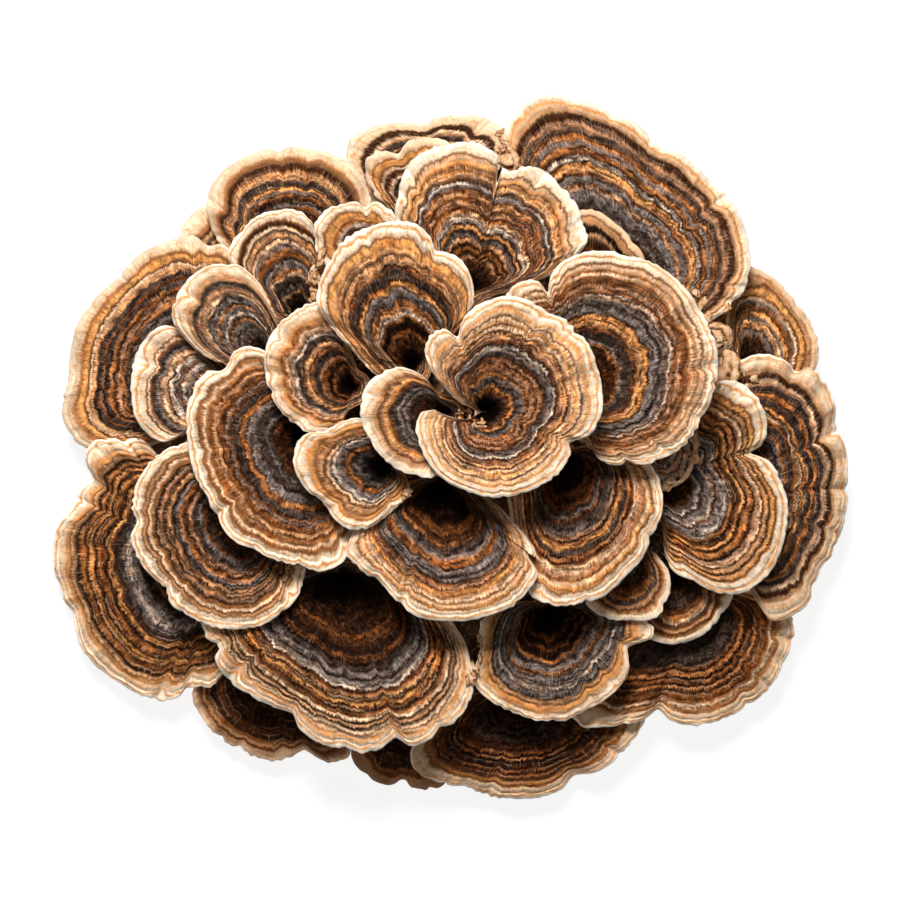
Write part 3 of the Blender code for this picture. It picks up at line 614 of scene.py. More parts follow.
def cap_flesh(name, bands, usual, seed, throat, hole_shade):
    """Velvety banded flesh. The bands follow the growth lines, ragged with the radial hairs.
    Fine lines run along them and hairs run across, the pale hairs partly a painted sheen. The
    furrows are painted dark as their shade, over the flesh's own dark lines, and the crests beside
    them carry painted highlights. Washes of brown and grey vary each band. Towards the foot the
    flesh is painted darker as the shade of the caps above, over its darker old growth, and the
    middle of the centre funnel is painted black as its shade. Depths are millimetres in from the
    margin, and shares run from 0 at the foot to 1 at the margin."""
    flesh = Flesh(name + " velvet", 0.65, 0.05)
    plus, times, between, blend = flesh.plus, flesh.times, flesh.between, flesh.blend
    growth = flesh.attribute("growth", "Vector")
    share, furrow = flesh.attribute("reach share"), flesh.attribute("furrow")
    around = flesh.add("SeparateXYZ", Vector=growth).outputs
    depth = around["Z"]

    def noise(along, inward, detail, shift, roughness=0.6, place=growth):
        """Noise that is shrunk by these factors along the margin and inwards."""
        place = flesh.add("Mapping", Vector=place, Location=(seed * 3.1 + shift, shift * 7.7, seed * 1.7),
                          Scale=(along, along, inward)).outputs["Vector"]
        return flesh.noise(place, 1.0, detail, roughness)

    def lit(value, low, high, dark, light, strength):
        """The colour times a factor from dark to light as the value rises, eased by strength."""
        factor = plus(between(value, low, high, dark, light, "LINEAR"), -1.0)
        return blend("MULTIPLY", 1.0, colour, plus(times(factor, strength), 1.0))

    def tinted(amount, tint):
        return blend("MIX", amount, colour, blend("MULTIPLY", 1.0, colour, (*tint, 1.0)))

    def sway(value, width):
        return times(plus(value, -0.5), width)

    def patches(value, low, high, start, full, least, most):
        """Where the value passes from low to high, rising from least to most with the depth."""
        return times(between(value, low, high), between(depth, start, full, least, most))

    drift = noise(0.11, 0.14, 2.0, 1.0)
    tooth = noise(0.9, 0.22, 3.0, 2.0)
    fibre = noise(2.6, 0.36, 3.0, 3.0)
    wash = noise(0.16, 0.22, 3.0, 5.0)
    speck = noise(0.62, 0.75, 4.0, 6.0, 0.7)

    # Where the bands run: the depth, swayed by drift, teeth and hairs, and by washes at the edge.
    wander = plus(plus(sway(drift, 2.2), sway(tooth, 1.4)), sway(fibre, 1.1))
    ragged = plus(depth, times(wander, between(depth, 0.1, 3.0)))
    ragged = plus(ragged, times(sway(wash, 2.6), between(depth, 4.5, 0.5)))
    ragged_place = flesh.add("CombineXYZ", X=around["X"], Y=around["Y"], Z=ragged).outputs[0]
    streak = noise(0.20, 1.25, 3.0, 4.0, 0.65, ragged_place)
    stops, total, listed = band_stops(bands, usual)
    colour = flesh.ramp(times(ragged, 1.0 / total), stops, "EASE")
    old = flesh.ramp(noise(0.06, 0.62, 2.0, 7.0), (
        (0.36, (0.010, 0.0035, 0.0015)), (0.47, (0.065, 0.023, 0.008)), (0.52, (0.020, 0.0085, 0.0045)),
        (0.58, (0.150, 0.056, 0.017)), (0.63, (0.028, 0.012, 0.0065)), (0.70, (0.085, 0.055, 0.040))))
    colour = blend("MIX", between(ragged, listed - 2.5, listed - 0.5), colour, old)

    # Ticks and flecks in the cream edge.
    near_edge = between(depth, 2.6, 4.0, 1.0, 0.0)
    tick = patches(fibre, 0.50, 0.62, 0.3, 1.2, 0.25, 0.8)
    colour = blend("MULTIPLY", times(tick, near_edge), colour, (0.86, 0.66, 0.46, 1.0))
    fleck = patches(speck, 0.52, 0.62, 0.1, 1.0, 0.20, 0.9)
    colour = blend("MULTIPLY", times(fleck, near_edge), colour, (0.84, 0.62, 0.40, 1.0))

    # Fine lines along the bands, then light and dark specks, teeth and hairs. The teeth paint
    # light and shade as on radial pleats.
    lines = flesh.ramp(streak, ((0.40, (0.15, 0.105, 0.080)), (0.50, (0.48, 0.44, 0.40)),
                                (0.60, (0.88, 0.81, 0.74))))
    lines = blend("MULTIPLY", 1.0, lines, (2.1, 2.1, 2.1, 1.0))
    lined = blend("MULTIPLY", 1.0, colour, lines)
    colour = blend("MIX", between(depth, 1.5, 10.0, 0.16, 1.0), colour, lined)
    inner_zone = between(depth, 1.5, 5.5, 0.16, 1.0)
    colour = lit(speck, 0.36, 0.64, 0.58, 1.44, times(inner_zone, 0.8))
    # Painted light and shade: radial streaks lighter and darker, as light falls on pleats.
    colour = lit(tooth, 0.36, 0.64, 0.76, 1.24, inner_zone)
    colour = lit(fibre, 0.34, 0.66, 0.58, 1.42, times(inner_zone, 0.8))

    # Warm and cool washes, dark cracks, and pale hairs that are partly a painted sheen.
    colour = tinted(patches(wash, 0.50, 0.64, 1.5, 5.0, 0.0, 0.65), (1.22, 0.92, 0.66))
    colour = tinted(patches(wash, 0.48, 0.36, 1.5, 5.0, 0.0, 0.7), (0.76, 0.71, 0.68))
    crack = patches(fibre, 0.40, 0.32, 2.5, 8.0, 0.0, 0.85)
    colour = blend("MIX", crack, colour, (0.013, 0.005, 0.0025, 1.0))
    # Pale hairs, strongest outwards: partly the real pale hairs, partly a painted sheen on the velvet.
    pale_hair_and_sheen = patches(fibre, 0.58, 0.68, 1.6, 5.0, 0.0, 0.26)
    pale_hair_and_sheen = times(pale_hair_and_sheen, between(share, 0.15, 0.55, 0.25, 1.0))
    colour = blend("MIX", pale_hair_and_sheen, colour, (0.56, 0.40, 0.28, 1.0))

    # Furrows painted dark as their shade, over the flesh's own dark lines, painted highlights on
    # the crests beside some of them, and the throat painted darker as the shade of the caps above.
    uneven = plus(sway(tooth, 0.9), sway(fibre, 0.4))
    within = flesh.maths("FRACT", plus(furrow, uneven))
    off_middle = flesh.maths("ABSOLUTE", plus(within, -0.5))
    # Painted shade in the furrows between growth ridges, over the dark lines of the flesh.
    groove_shade = patches(off_middle, 0.32, 0.48, 2.0, 11.0, 0.04, 0.85)
    groove_shade = times(groove_shade, between(drift, 0.40, 0.58, 0.12, 1.0))
    colour = blend("MIX", groove_shade, colour, (0.017, 0.0065, 0.003, 1.0))
    # Painted highlight: a pale line on the crest beside a furrow, where the light catches the ridge.
    crest_highlight = times(between(within, 0.62, 0.78), between(within, 0.92, 0.80))
    crest_highlight = times(times(crest_highlight, between(drift, 0.50, 0.60)), between(depth, 2.0, 4.0, 0.0, 0.3))
    crest_highlight = times(crest_highlight, between(share, throat, throat + 0.2))
    colour = blend("MIX", crest_highlight, colour, (0.50, 0.35, 0.24, 1.0))
    # Painted shade: darker towards the foot as the shade of the caps above, over the darker old flesh, and
    # black in the middle of the centre funnel.
    colour = blend("MULTIPLY", 1.0, colour, between(share, hole_shade, throat, 0.04, 1.0))

    relief = plus(times(fibre, 0.8), plus(times(streak, 0.7), times(groove_shade, -0.5)))
    relief = times(relief, between(depth, 0.3, 3.5, 0.25, 1.0))
    return flesh.finished(colour, relief, 0.9, 0.0007)


def pore_flesh():
    """The pored underside: cream at the edge and ochre towards the neck, pitted with pores a
    third of a millimetre apart, which are the cells of a Voronoi pattern. Each pore is painted
    darker towards its middle as the shade inside it."""
    flesh = Flesh("pored underside", 0.85, 0.25)
    share = flesh.attribute("reach share")
    place = flesh.add("TexCoord").outputs["Object"]
    stain = flesh.noise(place, 120.0, 4.0)
    shade = flesh.maths("MULTIPLY_ADD", stain, 0.5, share)
    colour = flesh.ramp(shade, ((0.30, (0.10, 0.050, 0.024)), (0.62, (0.33, 0.20, 0.10)),
                                (0.95, (0.58, 0.42, 0.26)), (1.0, (0.74, 0.60, 0.42))))
    pores = flesh.add("TexVoronoi", Vector=place, Scale=2900.0).outputs["Distance"]
    # Painted shade: each pore darker towards its middle, as the shade inside it.
    pit = flesh.between(pores, 0.0, 0.45, 0.35, 1.0, "LINEAR")
    return flesh.finished(flesh.blend("MULTIPLY", 0.8, colour, pit), pit, 0.5, 0.0002)


underside = pore_flesh()


def grow_cap(name, slot, foot, rise, droop, margin, bands, seed, throat=0.35, hole_shade=0.0,
             pit=PIT_DEPTH, hook=0.0, crumple=0.0, evening=EVENING):
    """Makes one cap and its two surfaces, and hides the solid of that name, which it dresses. The margin is
    a text of places "x y, x y", and the bands a text for band_stops. The throat and the hole are the shares
    inside which it is painted darker, and painted black: painted shade of the caps above over the
    darker old flesh, and painted shade in the middle of the centre funnel. The pit is a depth, the
    hook an angle, crumple the height of wrinkles, and evening the length over which the margin is
    evened for the bands deep in."""
    piece, usual = cap_shape(name.replace("_", "-"), foot, rise, droop, margin, bands, seed, pit, hook,
                             crumple, evening)
    piece.data.materials.append(cap_flesh(piece.name, bands, usual, seed, throat, hole_shade))
    piece.data.materials.append(underside)
    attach(piece, "root")
    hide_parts(name)


def grow_ring(name, seed, caps):
    """Grows the listed caps and numbers them. A row is slot, foot (x, y, height), rise, droop,
    margin and bands, and may end with further values of grow_cap by name."""
    for number, cap in enumerate(caps):
        grow_cap("%s_%d" % (name, number + 1), *cap[:6], seed + number, **dict(*cap[6:]))


# The lobe below the slit is listed where it starts, and the hook swings it round the foot.
grow_cap("centre_cap", "grey_cap", (8.75, 8.75, 46), 13, 1,
         "3.75 -10.75, 10.5 -12.5, 16.25 -12, 22.5 -9.5, 27.5 -5.75, 30 -1.5, 30.25 1, 33.5 2.25, "
         "36.5 5.25, 37.75 10.5, 37.25 16.75, 35.5 22.75, 32.5 27.75, 28.5 31.5, 24.5 33, 20 36, "
         "15 37.25, 10 36.5, 6 34.5, 3 31.25, 1.75 27.25, -1 29.25, -4 28.25, -6.25 24.25, -5 19.75, "
         "-1.25 14.25, 1.25 11.75, 3.25 10.5, 6.0 9.25, 6.15 7.85, 4.15 6.8, 1.2 5.3, -1.35 3.8, "
         "-3.5 2.4, -5.1 0.75, -5.35 -1.3, -5.05 -3.1, -3.05 -5.75, -0.2 -8.7",
         "C1.1 a0.2 C0.7 c0.9 a0.8 w1.1 l0.3 w0.8 a0.8 t0.5 w1.0 b0.5 t0.8 P1.0 b0.6 s0.8 p0.5 g0.9 "
         "s1.4 b0.6 P0.9 b0.5 P2.0 o0.6 g2.0 s1.1 a0.6 b0.7 s1.6 d0.8 k0.8", 11,
         throat=0.15, hole_shade=0.10, pit=5.0, hook=29.0)

# ------------------------------------------------------------------------------------------
# The inner ring. Eight broad fans crowd round the centre cap and tuck under it, each with its
# foot high on the mound; their throats lie in its shade.
# ------------------------------------------------------------------------------------------
grow_ring("inner_cap", 12, (
    ("brown_cap", (5.5, 39.25, 29), 12, 4,
     "10.5 37.25, 16.25 39.25, 32.5 48.25, 34.25 51.75, 33.25 56.25, 31 61.25, 27.5 65.75, 23 69, "
     "18.5 69.75, 14.5 68.75, 13.25 69.75, 11.75 65.75, 12 72.75, 9 75, 4.5 76, -0.5 75.5, -5.5 74, "
     "-9.5 71.25, -13 63.75, -13.5 55.75, -10.5 49.25",
     "C1.6 c1.0 l0.3 w0.8 a1.0 l0.3 t0.8 a0.8 w0.6 b0.5 s0.8 p0.5 g0.9 b0.8 t0.8 b1.6 P1.2 b1.0 o0.8 "
     "w0.9 p1.6 s0.7 a0.9 k0.6 g1.4 t1.0 k0.9 o1.3 k0.9 t1.0 d1.2 o0.9",
     {"throat": 0.22, "evening": 9.0}),
    ("amber_cap", (31.25, 15.5, 36), 13, 4,
     "31.5 1.75, 35 -0.5, 37.5 -3.75, 42 -4.75, 53.5 -2.75, 58.5 0.75, 62 5.75, 66.5 21.75, "
     "65.75 26.25, 58.5 39.25, 54.5 43, 45.5 47.5, 40.5 48.75, 31 47.5, 26.5 44.75, 24.5 40.75, "
     "24.25 38.5, 22 41, 18.75 41.5, 15.5 39.75, 13.75 36.75, 16.5 29.25",
     "C0.9 a0.2 C0.6 c1.0 l0.4 w0.9 o1.3 w0.4 o1.0 l0.3 b1.2 P1.6 b1.2 p0.5 l0.3 g1.6 s1.0 g2.0 l0.3 "
     "a1.3 t1.8 b0.6 s2.6 g1.0 o1.0 d2.0 b1.0 k3"),
    ("grey_cap", (27.5, -2.75, 30.5), 12, 3,
     "17.5 -3.75, 14.25 -9.5, 14.5 -15.75, 18 -33.25, 21.25 -38.25, 26.25 -39.5, 32 -39.25, 38 -37.25, "
     "43 -33.75, 50.5 -22.25, 52.75 -16.25, 52.75 -10.75, 50.5 -5.25, 43.75 -0.25",
     "C1.0 a0.2 C0.6 c1.1 l0.3 a1.2 w0.5 o1.2 P1.4 w0.8 b0.6 d0.5 o1.2 s1.5 a0.7 o1.0 d0.6 P0.8 g1.0 "
     "s2.2 b0.8 g0.8 s1.0 b1.6 d1.2 b1.5 k3", {"throat": 0.45}),
    ("amber_cap", (-2.5, -9.25, 33), 12, 3,
     "-14.5 -10.75, -21 -17, -25 -23.25, -25.75 -27.25, -23 -30.25, -18 -33.25, -12.5 -39.25, "
     "-8 -42.25, -2.5 -43.25, 3.75 -43.25, 10 -41.75, 15.5 -39.5, 19.5 -36, 21.75 -31.5, 19.5 -26.5, "
     "21.25 -27.5, 15.5 -18.25, 10 -12.75",
     "C0.9 a0.2 C0.6 c1.1 l0.2 a0.6 w0.7 o0.5 w0.5 P1.0 a0.9 b0.8 P0.8 b0.7 s0.9 g0.5 s0.4 g1.5 b1.4 "
     "o0.9 g1.4 s2.0 o0.7 d1.6 b2.8 k4", {"throat": 0.50}),
    ("amber_cap", (-16.25, -4.75, 35), 12, 2,
     "-15.5 3, -19.5 6.75, -23.5 7.25, -27.5 6, -31.25 4, -35.5 3.5, -38 1, -39 -2.75, -38 -6.75, "
     "-35.75 -10.75, -32 -13.75, -29.5 -17.25, -26 -20, -22 -20.5, -14.25 -16.25, -11.25 -13.25, "
     "-10 -10.25",
     "C0.7 a0.2 C0.4 c1.0 a1.2 l0.2 o0.8 t1.0 b0.9 w0.6 s0.5 p0.8 g1.8 b0.6 o0.8 s1.0 g1.6 s1.6 k4",
     {"throat": 0.50}),
    ("brown_cap", (-24, 14.75, 30), 12, 2,
     "-26.25 26.75, -28.75 33.75, -33 36, -38 34.25, -41.75 31.75, -44.5 28, -46.25 19.75, "
     "-45.75 15.5, -43.75 11.25, -40.5 7.25, -36.75 4.25, -32 3.25, -27.5 5.5, -25 9.25",
     "C0.7 a0.2 C0.4 c1.0 w0.8 a1.0 l0.3 o1.0 w0.4 P1.4 p0.4 s2.2 t1.6 o0.8 s1.8 P1.0 b1.2 k1.2 o0.9 "
     "d1.2 k3"),
    ("tan_cap", (-9, 19.75, 36), 13, 3,
     "-2.5 24.75, 1.5 28.5, 4.75 32.75, 6 37.25, 5.5 41.25, 3.5 45.5, 0 48.25, -3.25 48.75, -5 52.25, "
     "-8 55, -12 56.25, -22 54, -26.25 51.25, -30 46.25, -32.5 40.5, -33.25 36.75, -32 33.25, "
     "-24.5 24.25, -18 17.75",
     "C1.1 a0.2 C0.7 c1.2 l0.3 a2.6 t1.2 l0.3 t2.4 b0.8 s2.6 b0.5 a0.9 g2.6 s0.6 o1.2 t1.4 p0.6 o0.9 "
     "k2.2 b0.8 o0.8 d1.0 b1.0 d2.0 k3.0"),
    ("brown_cap", (-1, 8.25, 42), 11, 1.5,
     "-3.25 13.75, -6.25 17.25, -10 19.25, -13.75 20, -17.5 18.5, -20.5 15.5, -22.25 11.25, -22 6.75, "
     "-20.5 2.5, -18 -1.25, -10.5 -6.75, -6.25 -7.75, -2.5 -7.25, 0.5 -3.75",
     "C0.9 c0.7 w1.0 t0.7 b0.6 P0.8 a1.2 b0.5 s1.6 g0.8 s0.8 g0.6 s2.0 d2 k3"),
))

# ------------------------------------------------------------------------------------------
# The middle ring. Twelve fans of many sizes, grown from the flanks of the mound in the gaps
# between the inner ones and partly hidden by them.
# ------------------------------------------------------------------------------------------
grow_ring("middle_cap", 20, (
    ("amber_cap", (52.5, -8.25, 21), 10, 5,
     "53 -19.5, 53.5 -25.75, 55.5 -30.75, 60 -33.25, 68.75 -36.75, 73.75 -36.25, 78.5 -33.25, "
     "82 -27.75, 84 -20.75, 84.5 -14.5, 82.75 -7.75, 79.5 -3.25, 75.5 -1.25, 78 0.5, 79.5 4.75, 78 10, "
     "75 14.25, 71.25 16.5, 67 16.5, 62.5 16, 57 13",
     "C1.1 a0.2 C0.7 c1.1 b0.4 a1.1 d0.5 t1.2 b0.6 w0.5 P1.2 d0.8 o1.4 k1.0 a0.5 b0.8 k0.8 o0.6 s1.0 "
     "p0.5 g2.2 b0.6 p0.6 g1.8 s0.8 p0.6 g1.6 s0.8", {"throat": 0.12, "pit": 0.5}),
    # This cap and the two after it lie to the south, in the shade of the caps above: their inner bands are
    # listed darker than their flesh, as painted shade.
    ("brown_cap", (43, -26.25, 24.5), 7, 2,
     "35.5 -33.25, 33.75 -39, 37 -41.75, 46.5 -43.5, 51.25 -43, 53.75 -39.75, 55 -35.75, 54.75 -31.5, "
     "52.5 -27.75, 48.75 -24.75",
     "C0.9 c0.6 w0.5 o0.7 d0.6 t0.8 s1.2 o0.8 b0.9 b0.8 b0.4 d0.8 s1.8 g1.0 k2"),
    ("brown_cap", (56.5, -32.75, 15), 7, 3,
     "48.75 -39.5, 47.5 -44.5, 50.5 -48.25, 55.5 -49.5, 60.5 -48.5, 68 -42.75, 70.25 -39.25, "
     "71.25 -35.75, 68 -32",
     "C0.9 c0.6 o0.7 d0.5 t0.9 b0.6 s0.9 w0.6 o1.2 b0.8 d0.8 s1.8 k2"),
    ("brown_cap", (24.5, -41.25, 20), 9, 4,
     "13.75 -39.5, 7.5 -43.75, 7.5 -49.5, 6 -55.25, 6 -59.75, 9.5 -63, 15 -66, 21.25 -68.25, "
     "27.5 -68.75, 33.5 -66.5, 39 -63, 43 -59.25, 45 -54.5, 44.5 -50.25, 51 -46.75, 46.5 -41.25, "
     "37.5 -38.25",
     "W0.6 a0.2 W0.4 c0.6 w0.7 a1.4 l0.3 t0.9 k0.8 g1.0 s0.8 p0.4 s1.0 g1.2 s0.8 o0.6 g1.8 s1.2 o0.6 "
     "k1.6 b1.2 k1.4 b1.5 k3", {"throat": 0.50}),
    ("amber_cap", (-26.25, -32, 21), 10, 6.5,
     "-46.25 -34.5, -58 -39.25, -62.25 -43.75, -61 -47.5, -58.25 -49.5, -58.75 -53.25, -56 -58, "
     "-45 -64.75, -39.75 -66.5, -37.5 -70.75, -32 -74.25, -25.5 -76, -19.5 -76.5, -13.75 -73, "
     "-8.75 -74.75, -5 -73, -2.5 -70.75, 1.5 -68.75, 4.5 -64.25, 6 -59.5, 5.25 -53.75, 3 -47, "
     "-5 -38.25",
     "C1.0 a0.2 C0.4 c0.7 a0.7 w0.7 b0.4 w0.5 k1.2 t0.4 k0.9 w0.7 t0.6 b0.4 k1.4 o0.5 a0.5 k1.3 t0.8 "
     "b0.6 d0.9 p0.5 g1.6 s0.5 g1.8 s1.4 k1.4 b0.7 k1.6 d2.6 b1.5 k3", {"throat": 0.50}),
    ("brown_cap", (-51.75, -17.75, 21), 10, 5,
     "-58.75 -4.5, -62.5 0.25, -67 1, -72.5 -1.75, -76 -5.25, -78.75 -10.25, -79.75 -14.75, "
     "-78.25 -18.5, -79.75 -22.75, -77.75 -28.25, -71.75 -35.25, -69 -40, -63.75 -43, -58.75 -45, "
     "-52.5 -45.5, -46.25 -44.25, -38.25 -37.75, -36.5 -32.75, -36 -27.75, -41.25 -20.75",
     "W0.8 a0.2 W0.6 c1.0 l0.3 t0.7 b0.6 w0.8 o0.9 k1.0 P0.9 d1.2 t0.9 k1.1 g1.0 o0.9 d1.3 P0.8 s1.4 "
     "g1.2 b0.9 s2.2 o0.6 s1.6 k1.4 b1.2 k4", {"throat": 0.45}),
    ("amber_cap", (-35, 1.75, 27), 12, 5,
     "-40 18.75, -45.5 23.75, -50.5 25.25, -54 23.75, -56.75 19.25, -60.5 18.75, -64 14.75, "
     "-65.5 9.75, -65.5 3.75, -60.75 -13.25, -58 -18.25, -54 -23.25, -48.5 -26, -37.5 -29.75, -32 -31, "
     "-27 -29, -24.5 -24.5, -23.5 -19.5, -26 -10.75",
     "W0.9 a0.2 W0.6 c1.1 l0.3 o1.2 w0.4 o1.0 b0.9 t1.4 b1.6 l0.4 g0.5 b1.0 s2.2 o1.5 g0.8 g1.8 s2.0 "
     "g1.2 s1.0 b1.2 d1.5 b1.0 k4", {"throat": 0.45}),
    ("grey_cap", (-54, 12.75, 17.5), 7, 3,
     "-61.25 23.75, -65 27.25, -69.5 30.25, -73.5 29.75, -77 26.5, -79 22.25, -79.75 12.25, -79 8, "
     "-76 3.5, -71.5 1.25, -60.5 6.75, -67 0.5, -63.5 1.75",
     "C1.1 a0.2 C0.7 c1.2 b0.4 w0.5 b0.6 s1.2 g0.6 P1.0 w1.2 b0.6 p1.4 g0.8 b0.8 p1.2 g1.6 a0.7 g1.2 "
     "p0.8 s0.8 g1.0", {"throat": 0.12, "pit": 0.8}),
    ("brown_cap", (-46.5, 23.75, 22), 9, 3,
     "-42.5 28, -44 33.75, -49.5 43, -53 45.5, -57 45.75, -61.5 44.75, -65.5 41.75, -68.25 37.75, "
     "-69.5 34.25, -68.75 30.5, -66.5 27.5, -55.5 20.25",
     "C0.8 a0.2 C0.6 c0.8 w0.8 t1.2 s1.4 P2.2 w0.6 s0.6 g1.8 o0.9 g1.2 p0.9 s1.0 o0.8 g1.2 s0.8 g1.4 "
     "s0.6 g1.2 s0.8", {"throat": 0.12, "pit": 0.8}),
    ("brown_cap", (-37, 33, 20), 8, 2,
     "-32 38, -31 48, -32 52.75, -34.5 56.5, -38 59, -42.5 59.5, -47 58.25, -51 55.75, -54 52.25, "
     "-55.5 48.25, -53.75 43.75, -50 37.25, -45.5 32.25",
     "C0.7 a0.2 C0.4 c1.0 l0.3 d1.4 w0.8 s0.6 t1.4 b0.6 w0.8 g1.0 o1.0 b0.9 s0.8 g1.8 o1.0 w0.6 s1.8 "
     "k1.0 g1.0 t0.6 s1.0 k2"),
    ("tan_cap", (-18.75, 46.25, 24), 9, 2,
     "-12 53, -13.25 56.75, -15.5 60, -19 61.25, -21.25 60, -23 61.25, -26.25 61.25, -30.5 59.5, "
     "-33.5 56.25, -34 52.25, -33 47.75, -30 44.75",
     "C0.7 a0.2 C0.4 c1.0 l0.4 a1.7 b0.6 o0.5 p1.0 d2.0 b1.5 s1.5 k2"),
    ("amber_cap", (-6.25, 59.75, 17), 8, 3,
     "3.5 70.5, 1.5 74.75, -2 77, -6.25 77.5, -10.5 76.5, -13 73.75, -17.5 74.25, -20.5 72.5, "
     "-21.25 68.75, -20 64.25, -16.25 60.5",
     "c1.0 w1.0 l0.3 a1.2 b1.0 w0.5 d1.2 o0.8 p0.8 d1.2 b1 k2"),
))

